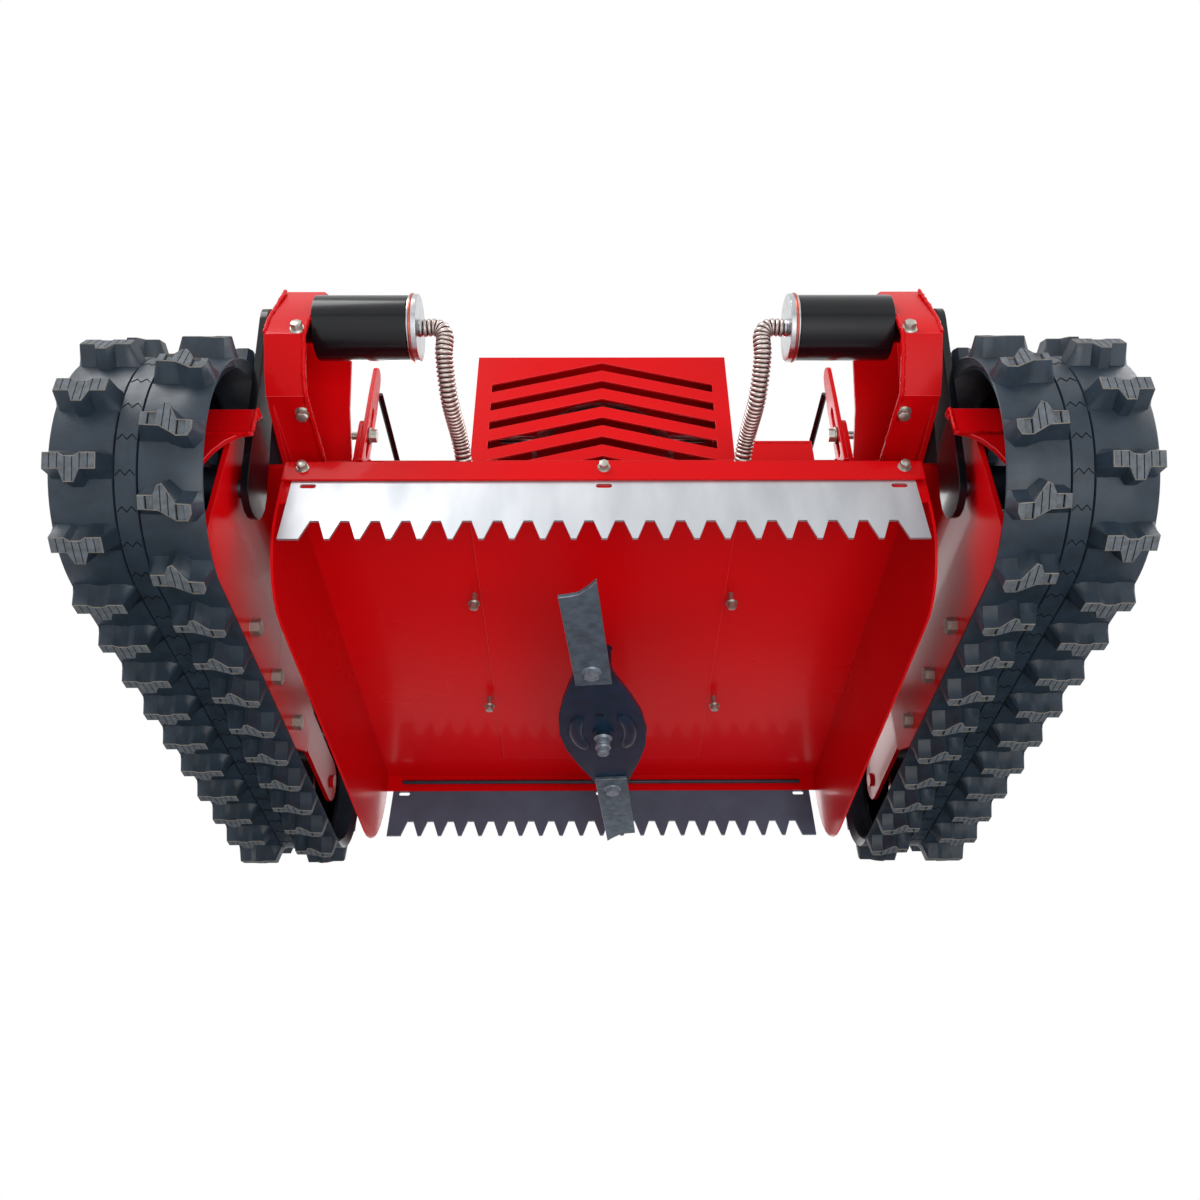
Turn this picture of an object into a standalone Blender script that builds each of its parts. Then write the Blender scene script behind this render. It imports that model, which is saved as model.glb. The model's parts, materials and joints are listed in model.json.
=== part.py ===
# Remote-controlled tracked mower: two rubber tracks either side of a height-adjustable
# rotary deck that carries its engine. Metres, +Z up, the ground at z = 0.
# The end with the travel motors and the slotted engine guard faces -Y.
# Left means the -X side. Every paired piece is made once for each side.

import bpy
import bmesh
from math import sin, cos, pi, degrees, radians, atan2
from mathutils import Matrix, Vector

for item in list(bpy.data.objects):
    bpy.data.objects.remove(item)

# Driving dimensions
GAP = 0.0003                  # clearance between pieces that touch
FACE_GAP = 0.0012             # running clearance beside wheels and in pivots
LAP = 0.001                   # how far joined solids run into each other
INSET = 0.0005                # keeps the faces of joined solids off one plane
WHEEL_GAP = 0.0008            # idler tread to belt, clear of the belt's facets

TRACK_GAUGE = 0.933           # middle of one belt to the middle of the other
BELT_WIDTH = 0.151
BELT_THICKNESS = 0.014
LUG_HEIGHT = 0.022
LUG_COUNT = 28
LUG_TOP = 0.026               # lug length along the belt, at its tip
LUG_ROOT = 0.040              # and where it leaves the belt
LUG_SINK = 0.004              # lug root below the belt's outer face
CENTRE_BAND = 0.023           # plain stripe between the two lug rows
LUG_EDGE = 0.004              # plain rim of the belt outside each row
LUG_ROW_WIDTH = (BELT_WIDTH - CENTRE_BAND) / 2 - LUG_EDGE
SPROCKET_Y = -0.307
SPROCKET_WRAP = 0.1415        # belt outside radius round the sprocket
IDLER_Y = 0.316
IDLER_WRAP = 0.100            # belt outside radius round the idler
IDLER_STEPS = 14              # facets of the belt round each wheel
SPROCKET_STEPS = 16

WHEEL_WIDTH = 0.090
HUB_RADIUS = 0.024
AXLE_RADIUS = 0.010
SPROCKET_TEETH = 12
SPROCKET_TOOTH = 0.014        # tooth height
SPROCKET_WIDTH = 0.030
WINDOWS = 5                   # lightening holes in the sprocket
WHEEL_WEB = 0.016
ROLLER_RADIUS = 0.026
GROOVE_DEPTH = 0.008          # groove for the belt's guide lugs
GROOVE_HALF = 0.016
ROLLER_PLACES = (-0.185, -0.080, 0.030)

PLATE = 0.006                 # side and track frame plates
FRAME_PLATE_X = TRACK_GAUGE / 2 - 0.0665   # inner face of each track frame plate
FRAME_FRONT_Y = -0.3605
FRAME_REAR_Y = 0.110
FRAME_TOP = 0.135             # top of the plate behind the shelf
RAIL_HALF = 0.025             # box rail over the rollers
RAIL_HEIGHT = 0.030
RAIL_FLOOR = 0.105
AXLE_SLEEVE = 0.015
CAP_NUT = 0.010
CAP_NUT_LENGTH = 0.011
SIDE_PLATE_X = FRAME_PLATE_X - 0.032       # inner face of each side plate
SIDE_TOP = 0.420
SIDE_NOSE_Y = -0.405
SIDE_REAR_Y = 0.330
SIDE_FLOOR = 0.236            # lower edge of the side plate
LEDGE_Y = -0.373
LEDGE_TOP = 0.219
LEDGE_HEIGHT = 0.035
LEDGE_END_X = FRAME_PLATE_X + 0.040
LEDGE_DEPTH = 0.016
GUSSET_FLOOR = 0.095
GUSSET_END_X = FRAME_PLATE_X + 0.028
SHELF_FRONT_Y = -0.2625
SHELF_REAR_Y = -0.060

BEAM_WIDTH = 0.030
BEAM_HEIGHT = 0.030
FRONT_BEAM_Y = -0.212
REAR_BEAM_Y = 0.300
BEAM_FLOOR = 0.252

MOTOR_Y = -0.373
MOTOR_Z = 0.351
MOTOR_RADIUS = 0.037
MOTOR_NECK = 0.0170           # behind the tower's front flange
MOTOR_LENGTH = 0.106
MOTOR_OUTER_X = SIDE_PLATE_X - 0.040
MOTOR_INNER_X = MOTOR_OUTER_X - MOTOR_LENGTH
MOTOR_RING = 0.011
MOTOR_RING_RADIUS = 0.0385
GLAND_RADIUS = 0.010
GLAND_LENGTH = 0.003

CONDUIT_RADIUS = 0.0105
CONDUIT_GROOVE = 0.0085
CONDUIT_BORE = 0.0060
CONDUIT_END_X = MOTOR_INNER_X - 0.054
CONDUIT_RIB_PITCH = 0.0076

CASE_X = FRAME_PLATE_X - 0.019             # inner face of the chain case beside the belt
CASE_THICKNESS = 0.0085
CASE_WALL = 0.0015
CASE_RADIUS = 0.034
CASE_TOP_RADIUS = 0.022

DECK_HALF = SIDE_PLATE_X - 0.008           # outside of the skirts
DECK_FRONT = -0.3025
DECK_REAR = 0.4615
DECK_TOP = 0.205
SHEET = 0.003
SKIRT_FLOOR = 0.048
SKIRT_FRONT_CORNER = 0.090
SKIRT_REAR_CORNER = 0.125
FRONT_WALL = 0.055
REAR_WALL = 0.030
DOUBLER_HALF = 0.159
DOUBLER_REAR = 0.386
STRIP_HEIGHT = 0.027
COMB_HALF = DECK_HALF - 0.010
STRIP_BOLT_X = COMB_HALF - 0.013
COMB_TIP = 0.096
COMB_END = 0.020              # plain end of a comb beyond its notches
COMB_NOTCHES = 20
COMB_NOTCH_PITCH = 2 * (COMB_HALF - COMB_END) / COMB_NOTCHES
COMB_NOTCH_DEPTH = 0.025
COMB_NOTCH_FLAT = 0.0095
COMB_TIP_FLAT = 0.0055
COMB_SLOT = 0.018
COMB_SLOT_HEIGHT = 0.006
COMB_SLOT_Z = 0.171
BOLT_HEAD = 0.0075            # M8 hexagon, half its width across corners
BOLT_HEAD_HEIGHT = 0.0055

BLADE_Y = 0.067               # spindle axis
BLADE_Z = 0.062               # underside of the blades
BLADE_THICKNESS = 0.005
BLADE_WIDTH = 0.045
BLADE_REACH = DECK_HALF - 0.036            # swept radius at the middle of the slanted tip
BLADE_SLANT = 0.013           # how much further one corner reaches
# Scooped tip: share of the width from the shorter corner, then share of the way out
BLADE_SCOOP = ((0, 0), (0.3, 0.05), (0.53, 0.17), (0.77, 0.55), (1, 1))
BLADE_TAIL = 0.030
BLADE_PIVOT = 0.157
BLADE_TURN = radians(5.3)     # the carrier as photographed
CARRIER_HALF = 0.058
CARRIER_END = 0.024
CARRIER_THICKNESS = 0.006
SPINDLE_RADIUS = 0.0125
BLADE_BOLT_RADIUS = 0.006
BLADE_BOLT_HEAD = 0.010
BLADE_BOLT_HEAD_HEIGHT = 0.0075
BLADE_SWING_PLAY = 0.0005

HOOD_FRONT = -0.180
HOOD_REAR = 0.235
HOOD_HALF = 0.170
HOOD_TOP = 0.520
HOOD_SHEET = 0.003
HOOD_FOOT = 0.070             # height of the guard that no slot takes
HOOD_SLOTS = 7
HOOD_SLOT_PITCH = (HOOD_TOP - DECK_TOP - HOOD_FOOT) / HOOD_SLOTS
HOOD_SLOT_HEIGHT = 0.015
HOOD_SLOT_HALF = 0.149
HOOD_SLOT_RISE = 0.043        # chevron apex above its ends
HOOD_SLOT_TOP = HOOD_TOP - 0.0115          # apex of the highest slot

ENGINE_HALF = 0.120
ENGINE_FRONT = -0.115
ENGINE_REAR = 0.190
ENGINE_BASE = 0.060
ENGINE_BODY = 0.080           # round crankcase above the base
ENGINE_TOP = HOOD_TOP - 0.050
CYLINDER_HALF = 0.055
CYLINDER_HEIGHT = 0.072
CYLINDER_CLEAR = 0.018        # cylinder's head behind the guard's face
COWL_RADIUS = 0.110

DECK_RAISE = 0.040            # lift travel up and down from the photographed height
DECK_LOWER = 0.030
HANGER_Y = -0.245
HANGER_X = DECK_HALF - 0.072
HANGER_TOP = 0.420
HANGER_TOP_RADIUS = 0.012
HANGER_SLOT = 0.012
HANGER_PLATE = 0.006
HANGER_BOLT_Z = 0.305
HANGER_BOLT_RADIUS = 0.005
TOWER_SHEET = 0.004           # flanges of the tower, in front of its side plate and behind it
TOWER_BACK_X = HANGER_X + 0.024            # inner edge of the back flange, clear of the deck's bolt
TOWER_FOOT_CLEAR = 0.005      # under the front flange's foot, over the raised deck
EAR_PLATE = 0.005             # ears on the deck, outside the hangers
EAR_WIDTH = 0.030
EAR_TOP = 0.325
STAY_RADIUS = 0.004
STAY_OFFSET = 0.001           # stay's end behind the beam's front face
STAY_LEAN = 0.052             # its lower end, nearer the middle than its hanger

LIFT_RADIUS = 0.022
LIFT_FLOOR = 0.262
LIFT_LENGTH = 0.165
LIFT_ROD = 0.008
LIFT_ROD_TOP = 0.375
LIFT_FOOT = 0.016
LIFT_FOOT_HEIGHT = 0.006

YOKE_TRAVEL = 0.008           # slack that the tension screw takes up
YOKE_PLATE = 0.006
YOKE_FRONT = 0.130
YOKE_HEIGHT = 0.060
SCREW_RADIUS = 0.007
SCREW_X = FRAME_PLATE_X + 0.025
SCREW_Z = 0.095
SCREW_TAIL = 0.012            # screw end past the bracket
BRACKET_Y = 0.070
BRACKET_THICKNESS = 0.008

RECEIVER_LOW = (0.178, -0.225)
RECEIVER_HIGH = (0.260, -0.060)
RECEIVER_TOP = 0.312
LID_THICKNESS = 0.004
CONSOLE_LOW = (-0.215, 0.286)
CONSOLE_HIGH = (-0.035, 0.350)
CONSOLE_TOP = 0.360
ESTOP_X = -0.170
ESTOP_RADIUS = 0.016
ESTOP_LIFT = 0.004            # gap under the button's head; it is pressed 3.5 mm
KEY_X = -0.080
KEY_RADIUS = 0.009
TANK_TOP = HOOD_TOP - 0.080
TANK_HALF = 0.090
CAP_RADIUS = 0.026
CAP_HEIGHT = 0.016
GRIP_Z = TANK_TOP - 0.035     # pulled out, it passes over the console with the deck down
GRIP_X = -0.070
GRIP_HALF = 0.035
GRIP_RADIUS = 0.009

parts = bpy.data.collections.new("tracked mower")
bpy.context.scene.collection.children.link(parts)
cutters = bpy.data.collections.new("cutters")
bpy.context.scene.collection.children.link(cutters)


def paint(name, colour, roughness, metallic=0.0):
    """A Principled material from a hex colour."""
    material = bpy.data.materials.new(name)
    material.use_nodes = True
    shader = material.node_tree.nodes["Principled BSDF"]
    red, green, blue = (int(colour[i:i + 2], 16) / 255 for i in (1, 3, 5))
    shader.inputs["Base Color"].default_value = (red ** 2.2, green ** 2.2, blue ** 2.2, 1)
    shader.inputs["Roughness"].default_value = roughness
    shader.inputs["Metallic"].default_value = metallic
    material.diffuse_color = (red, green, blue, 1)
    return material


ENAMEL = paint("red enamel", "#D80A12", 0.25)
BLACK = paint("black enamel", "#141416", 0.3)
RUBBER = paint("track rubber", "#2E3338", 0.75)
STEEL = paint("bright steel", "#C8CCD0", 0.3, 1.0)
DARK_STEEL = paint("oiled steel", "#6E7F8C", 0.4, 1.0)
ZINC = paint("zinc plate", "#B8B8B0", 0.3, 1.0)
PLASTIC = paint("black plastic", "#1A1B1D", 0.5)
BUTTON_RED = paint("red plastic", "#C01010", 0.4)
CAST = paint("grey casting", "#8A8D90", 0.5, 0.8)


def keep(thing, name, material, smooth=30):
    """Name a finished piece, give it its material and file it with the parts."""
    thing.name = name
    thing.data.name = name
    thing.data.materials.clear()
    thing.data.materials.append(material)
    for group in list(thing.users_collection):
        group.objects.unlink(thing)
    parts.objects.link(thing)
    thing.data.shade_smooth()
    thing.data.set_sharp_from_angle(angle=radians(smooth))
    return thing


def tool(thing):
    """File a solid that only cuts or joins another."""
    for group in list(thing.users_collection):
        group.objects.unlink(thing)
    cutters.objects.link(thing)
    thing.hide_render = True
    thing.display_type = "WIRE"
    return thing


def combine(target, others, operation="UNION", solver="EXACT"):
    """Join solids to a piece, or cut them from it, in order."""
    for other in others:
        step = target.modifiers.new(operation.lower(), "BOOLEAN")
        step.operation = operation
        step.solver = solver
        step.object = tool(other)
    return target


def cut(target, others):
    return combine(target, others, "DIFFERENCE")


def solid(name, mesh, matrix=None):
    """A mesh object with consistent outward faces."""
    shape = bmesh.new()
    shape.from_mesh(mesh)
    bmesh.ops.remove_doubles(shape, verts=shape.verts, dist=0.00001)
    bmesh.ops.recalc_face_normals(shape, faces=shape.faces)
    shape.to_mesh(mesh)
    shape.free()
    thing = bpy.data.objects.new(name, mesh)
    bpy.context.scene.collection.objects.link(thing)
    if matrix is not None:
        thing.matrix_world = matrix
    return thing


def box(low, high):
    """A box between two corners, with its origin at its middle."""
    low, high = Vector(low), Vector(high)
    bpy.ops.mesh.primitive_cube_add(size=1, location=(low + high) / 2)
    thing = bpy.context.object
    thing.scale = high - low
    bpy.ops.object.transform_apply(location=False, rotation=False, scale=True)
    return thing


TURN = {"X": (0, pi / 2, 0), "Y": (-pi / 2, 0, 0), "Z": (0, 0, 0)}


def rod(radius, start, length, axis="Z", sides=20):
    """A cylinder that starts at a point and runs along +axis."""
    middle = Vector(start)
    middle["XYZ".index(axis)] += length / 2
    bpy.ops.mesh.primitive_cylinder_add(vertices=sides, radius=radius, depth=abs(length),
                                        location=middle, rotation=TURN[axis])
    return bpy.context.object


def hexagon(radius, start, length, axis="Z"):
    return rod(radius, start, length, axis, sides=6)


PLANES = {"X": Matrix(((0, 0, 1), (1, 0, 0), (0, 1, 0))),
          "Y": Matrix(((1, 0, 0), (0, 0, 1), (0, -1, 0))),
          "Z": Matrix.Identity(3)}


def prism(loops, low, high, axis="Z"):
    """A flat outline, with any holes as further loops, extruded between two planes.

    The outline is given as (y, z) for axis X, (x, -z) for axis Y and (x, y) for axis Z.
    """
    curve = bpy.data.curves.new("outline", "CURVE")
    curve.dimensions = "2D"
    curve.fill_mode = "BOTH"
    curve.extrude = (high - low) / 2
    for points in loops:
        spline = curve.splines.new("POLY")
        spline.points.add(len(points) - 1)
        for place, (u, v) in zip(spline.points, points):
            place.co = (u, v, 0, 1)
        spline.use_cyclic_u = True
    guide = bpy.data.objects.new("outline", curve)
    bpy.context.scene.collection.objects.link(guide)
    view = bpy.context.evaluated_depsgraph_get()
    mesh = bpy.data.meshes.new_from_object(guide.evaluated_get(view))
    bpy.data.objects.remove(guide)
    shift = Vector((0, 0, 0))
    shift["XYZ".index(axis)] = (low + high) / 2
    return solid("prism", mesh, Matrix.Translation(shift) @ PLANES[axis].to_4x4())


def upright(points):
    """Turn (x, z) points into the outline order that an axis Y prism takes."""
    return [(x, -z) for x, z in points]


def arc(centre, radius, start, end, steps):
    """Points on a circle between two angles in degrees, both ends included."""
    angles = (radians(start + (end - start) * i / steps) for i in range(steps + 1))
    return [(centre[0] + radius * cos(a), centre[1] + radius * sin(a)) for a in angles]


def turned(profile, place, axis="Z", steps=24, ring=False):
    """A profile of (radius, height), given down its outer side, turned about an axis.

    A ring's profile closes on itself, and any other starts and ends on the axis.
    """
    mesh = bpy.data.meshes.new("turned")
    points = [(radius, 0, height) for radius, height in profile]
    edges = [(i, i + 1) for i in range(len(points) - 1)]
    if ring:
        edges.append((len(points) - 1, 0))
    mesh.from_pydata(points, edges, [])
    thing = bpy.data.objects.new("turned", mesh)
    bpy.context.scene.collection.objects.link(thing)
    thing.location = place
    thing.rotation_euler = TURN[axis]
    screw = thing.modifiers.new("turn", "SCREW")
    screw.steps = steps
    screw.render_steps = steps
    screw.use_merge_vertices = True
    screw.merge_threshold = 0.00001
    return thing


def move_origin(thing, place):
    """Put a piece's origin on its joint's axis and leave its shape where it is."""
    bpy.context.view_layer.update()
    place = Vector(place)
    world = thing.matrix_world.copy()
    thing.data.transform(Matrix.Translation(-place) @ world)
    thing.matrix_world = Matrix.Translation(place)
    return thing


SIDES = (("left", -1), ("right", 1))


def span(side, near, far):
    """The low and high x of a piece between two distances from the middle plane."""
    return (near, far) if side > 0 else (-far, -near)


# The belt loop: round the sprocket and the idler, flat on the ground between them
BELT_MIDDLE = TRACK_GAUGE / 2
BELT_INNER_EDGE = BELT_MIDDLE - BELT_WIDTH / 2
BELT_OUTER_EDGE = BELT_MIDDLE + BELT_WIDTH / 2
GROUND_RUN = IDLER_Y - SPROCKET_Y
SPROCKET_Z = LUG_HEIGHT + SPROCKET_WRAP
IDLER_Z = LUG_HEIGHT + IDLER_WRAP
TOP_SLOPE = 2 * atan2(SPROCKET_WRAP - IDLER_WRAP, GROUND_RUN)
IDLER_ARC = IDLER_WRAP * (pi - TOP_SLOPE)
SPROCKET_ARC = SPROCKET_WRAP * (pi + TOP_SLOPE)
BELT_LENGTH = 2 * GROUND_RUN + IDLER_ARC + SPROCKET_ARC
LUG_PITCH = BELT_LENGTH / LUG_COUNT
BELT_INSIDE = LUG_HEIGHT + BELT_THICKNESS


def loop_point(along, out=0.0):
    """(y, z) at a distance along the belt's outside, from under the sprocket rearwards."""
    along = along % BELT_LENGTH
    if along < GROUND_RUN:
        return (SPROCKET_Y + along, LUG_HEIGHT - out)
    along -= GROUND_RUN
    if along < IDLER_ARC:
        angle = -pi / 2 + along / IDLER_WRAP
        reach = IDLER_WRAP + out
        return (IDLER_Y + reach * cos(angle), IDLER_Z + reach * sin(angle))
    along -= IDLER_ARC
    if along < GROUND_RUN:
        reach = IDLER_WRAP + out
        start = (IDLER_Y + reach * sin(TOP_SLOPE), IDLER_Z + reach * cos(TOP_SLOPE))
        return (start[0] - along * cos(TOP_SLOPE), start[1] + along * sin(TOP_SLOPE))
    along -= GROUND_RUN
    angle = pi / 2 - TOP_SLOPE + along / SPROCKET_WRAP
    reach = SPROCKET_WRAP + out
    return (SPROCKET_Y + reach * cos(angle), SPROCKET_Z + reach * sin(angle))


def plain_loop(out):
    """The belt's own outline, at a distance outside its outer face, with points on its arcs."""
    places = [GROUND_RUN + IDLER_ARC * i / IDLER_STEPS for i in range(IDLER_STEPS + 1)]
    start = 2 * GROUND_RUN + IDLER_ARC
    places += [start + SPROCKET_ARC * i / SPROCKET_STEPS for i in range(SPROCKET_STEPS + 1)]
    return [loop_point(place, out) for place in places]


def lug_loop(phase):
    """The outline of one row of lugs."""
    points = []
    for lug in range(LUG_COUNT):
        middle = (lug + phase) * LUG_PITCH
        points.append(loop_point(middle - LUG_ROOT / 2, -LUG_SINK))
        points.append(loop_point(middle - LUG_TOP / 2, LUG_HEIGHT))
        points.append(loop_point(middle + LUG_TOP / 2, LUG_HEIGHT))
        points.append(loop_point(middle + LUG_ROOT / 2, -LUG_SINK))
    return points


def make_belt(name, side):
    carcass = prism([plain_loop(0), plain_loop(-BELT_THICKNESS)],
                    *span(side, BELT_INNER_EDGE, BELT_OUTER_EDGE), "X")
    half_band = CENTRE_BAND / 2
    rows = []
    for row, phase in ((-1, 0.5), (1, 0.0)):
        near = BELT_MIDDLE + row * half_band
        far = near + row * LUG_ROW_WIDTH
        rows.append(prism([lug_loop(phase), plain_loop(-BELT_THICKNESS / 2)],
                          *span(side, min(near, far), max(near, far)), "X"))
    combine(carcass, rows, solver="MANIFOLD")
    return keep(carcass, "belt_" + name, RUBBER)


def window_cutters(place, middle, circle, radius, width):
    """Round lightening holes through a wheel that turns about X."""
    holes = []
    for i in range(WINDOWS):
        angle = 2 * pi * i / WINDOWS
        holes.append(rod(radius, (middle - width, place[0] + circle * cos(angle),
                                  place[1] + circle * sin(angle)), 2 * width, "X", 10))
    return holes


def sprocket_outline():
    tip = SPROCKET_WRAP - BELT_THICKNESS - FACE_GAP
    root = tip - SPROCKET_TOOTH
    step = 2 * pi / SPROCKET_TEETH
    points = []
    for tooth in range(SPROCKET_TEETH):
        for turn, radius in ((-0.30, root), (-0.13, tip), (0.13, tip), (0.30, root)):
            angle = (tooth + turn) * step
            points.append((SPROCKET_Y + radius * cos(angle), SPROCKET_Z + radius * sin(angle)))
    return points


FRAME_OUTER_X = FRAME_PLATE_X + PLATE
WHEEL_INNER_X = BELT_MIDDLE - WHEEL_WIDTH / 2
WHEEL_OUTER_X = BELT_MIDDLE + WHEEL_WIDTH / 2
OUTER_PLATE_X = WHEEL_OUTER_X + FACE_GAP
ROLLER_Z = BELT_INSIDE + ROLLER_RADIUS + GAP


def make_sprocket(name, side):
    """Toothed wheel with its hub and the shaft that the chain turns."""
    half = SPROCKET_WIDTH / 2
    wheel = prism([sprocket_outline()], *span(side, BELT_MIDDLE - half, BELT_MIDDLE + half), "X")
    cut(wheel, window_cutters((SPROCKET_Y, SPROCKET_Z), side * BELT_MIDDLE, 0.078, 0.016,
                              SPROCKET_WIDTH))
    low, high = span(side, FRAME_OUTER_X + FACE_GAP, WHEEL_OUTER_X)
    hub = rod(HUB_RADIUS, (low, SPROCKET_Y, SPROCKET_Z), high - low, "X")
    low, high = span(side, CASE_X + CASE_WALL + GAP, WHEEL_OUTER_X - FACE_GAP)
    shaft = rod(AXLE_RADIUS, (low, SPROCKET_Y, SPROCKET_Z), high - low, "X")
    combine(wheel, [hub, shaft])
    keep(wheel, "sprocket_" + name, DARK_STEEL)
    return move_origin(wheel, (side * BELT_MIDDLE, SPROCKET_Y, SPROCKET_Z))


def make_idler(name, side):
    """Plain wheel at the rear, turning on the tension yoke's axle."""
    half = WHEEL_WIDTH / 2
    radius = IDLER_WRAP - BELT_THICKNESS - WHEEL_GAP
    rim = radius - 0.012
    bore = AXLE_RADIUS + GAP
    web = WHEEL_WEB / 2
    profile = [(bore, half), (HUB_RADIUS, half), (HUB_RADIUS, web), (rim, web),
               (rim, half), (radius, half), (radius, -half), (rim, -half), (rim, -web),
               (HUB_RADIUS, -web), (HUB_RADIUS, -half), (bore, -half)]
    wheel = turned(profile, (side * BELT_MIDDLE, IDLER_Y, IDLER_Z), "X", 24, ring=True)
    return keep(wheel, "idler_" + name, BLACK)


def make_roller(name, side, number, y):
    """Track roller with a groove for the guide lugs."""
    half = WHEEL_WIDTH / 2
    groove = ROLLER_RADIUS - GROOVE_DEPTH
    bore = AXLE_RADIUS + GAP
    profile = [(bore, half), (ROLLER_RADIUS, half), (ROLLER_RADIUS, GROOVE_HALF),
               (groove, GROOVE_HALF - 0.002), (groove, 0.002 - GROOVE_HALF),
               (ROLLER_RADIUS, -GROOVE_HALF), (ROLLER_RADIUS, -half), (bore, -half)]
    wheel = turned(profile, (side * BELT_MIDDLE, y, ROLLER_Z), "X", 14, ring=True)
    return keep(wheel, f"roller_{name}_{number}", BLACK)


def track_frame_outline():
    """The plate inside the belt loop, from under the ledge to the tension screw."""
    floor = BELT_INSIDE + 0.0045
    return [(FRAME_FRONT_Y, floor + 0.020), (FRAME_FRONT_Y + 0.030, floor + 0.004),
            (SPROCKET_Y, floor), (FRAME_REAR_Y - 0.050, floor), (FRAME_REAR_Y, floor + 0.022),
            (FRAME_REAR_Y, FRAME_TOP - 0.010), (FRAME_REAR_Y - 0.090, FRAME_TOP),
            (SHELF_REAR_Y, SIDE_FLOOR + PLATE), (SHELF_FRONT_Y, SIDE_FLOOR + PLATE),
            (SHELF_FRONT_Y - 0.012, LEDGE_TOP), (FRAME_FRONT_Y, LEDGE_TOP)]


def make_track_frame(name, side):
    """Plate, rail, outer plate and axles, welded into one piece inside the belt."""
    plate = prism([track_frame_outline()], *span(side, FRAME_PLATE_X, FRAME_OUTER_X), "X")
    front, rear = ROLLER_PLACES[0], ROLLER_PLACES[-1]
    rail_front = front + 0.012
    rail_top = RAIL_FLOOR + RAIL_HEIGHT
    rail = box((min(side * (BELT_MIDDLE - RAIL_HALF), side * (BELT_MIDDLE + RAIL_HALF)),
                rail_front, RAIL_FLOOR),
               (max(side * (BELT_MIDDLE - RAIL_HALF), side * (BELT_MIDDLE + RAIL_HALF)),
                rear + 0.030, rail_top))
    pieces = [rail]
    for place in (rail_front + 0.008, rear):
        low, high = span(side, FRAME_OUTER_X - 0.002, OUTER_PLATE_X + 0.002)
        pieces.append(box((low, place, RAIL_FLOOR + 0.004), (high, place + 0.022, rail_top - 0.004)))
    low, high = span(side, OUTER_PLATE_X, OUTER_PLATE_X + PLATE)
    outer = [(front - 0.022, ROLLER_Z - 0.012), (rear + 0.022, ROLLER_Z - 0.012),
             (rear + 0.030, ROLLER_Z), (rear + 0.030, rail_top), (front + 0.012, rail_top),
             (front - 0.022, ROLLER_Z + 0.012)]
    pieces.append(prism([outer], low, high, "X"))
    for y in ROLLER_PLACES:
        low, high = span(side, FRAME_OUTER_X - 0.002, OUTER_PLATE_X + 0.002)
        pieces.append(rod(AXLE_RADIUS, (low, y, ROLLER_Z), high - low, "X", 12))
        low, high = span(side, FRAME_OUTER_X - LAP, WHEEL_INNER_X - FACE_GAP)
        pieces.append(rod(AXLE_SLEEVE, (low, y, ROLLER_Z), high - low, "X", 12))
        low, high = span(side, FRAME_PLATE_X - CAP_NUT_LENGTH, FRAME_PLATE_X + LAP)
        pieces.append(hexagon(CAP_NUT, (low, y, ROLLER_Z), high - low, "X"))
    low, high = span(side, SIDE_PLATE_X + PLATE + GAP, FRAME_PLATE_X + LAP)
    pieces.append(box((low, SHELF_FRONT_Y, SIDE_FLOOR), (high, SHELF_REAR_Y, SIDE_FLOOR + PLATE)))
    low, high = span(side, FRAME_OUTER_X - LAP, BELT_MIDDLE + 0.012)
    pieces.append(box((low, BRACKET_Y, SCREW_Z - 0.018),
                      (high, BRACKET_Y + BRACKET_THICKNESS, SCREW_Z + 0.018)))
    combine(plate, pieces)
    bore = AXLE_RADIUS + GAP
    low, high = span(side, FRAME_PLATE_X - 0.01, FRAME_OUTER_X + 0.01)
    shaft = rod(bore, (low, SPROCKET_Y, SPROCKET_Z), high - low, "X")
    screw = rod(SCREW_RADIUS + GAP, (side * SCREW_X, BRACKET_Y - 0.02, SCREW_Z), 0.05, "Y", 16)
    cut(plate, [shaft, screw])
    return keep(plate, "track_frame_" + name, ENAMEL)


def make_chain_case(name, side):
    """Tapered case of the travel chain, from the motor down to the sprocket shaft."""
    top, bottom = Vector((MOTOR_Y, MOTOR_Z)), Vector((SPROCKET_Y, SPROCKET_Z))
    along = top - bottom
    lean = degrees(atan2(along.y, along.x))
    outline = (arc(bottom, CASE_RADIUS, lean + 90, lean + 270, 8)
               + arc(top, CASE_TOP_RADIUS, lean - 90, lean + 90, 8))
    case = prism([outline], *span(side, CASE_X, CASE_X + CASE_THICKNESS), "X")
    low, high = span(side, CASE_X + CASE_WALL, CASE_X + CASE_THICKNESS + 0.01)
    cut(case, [rod(AXLE_RADIUS + GAP, (low, SPROCKET_Y, SPROCKET_Z), high - low, "X")])
    low, high = span(side, SIDE_PLATE_X + PLATE + GAP, CASE_X + LAP)
    combine(case, [rod(CASE_TOP_RADIUS * 0.7, (low, MOTOR_Y, MOTOR_Z), high - low, "X")])
    return keep(case, "chain_case_" + name, BLACK)


def flange_outline(path):
    """A strip of sheet along a path, lapped a little to its left and standing to its right."""
    outer, inner = [], []
    for number, place in enumerate(path):
        before = Vector(path[max(number - 1, 0)])
        after = Vector(path[min(number + 1, len(path) - 1)])
        way = (after - before).normalized()
        right = Vector((way.y, -way.x))
        outer.append(tuple(Vector(place) + right * TOWER_SHEET))
        inner.append(tuple(Vector(place) - right * LAP))
    return outer + inner[::-1]


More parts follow.
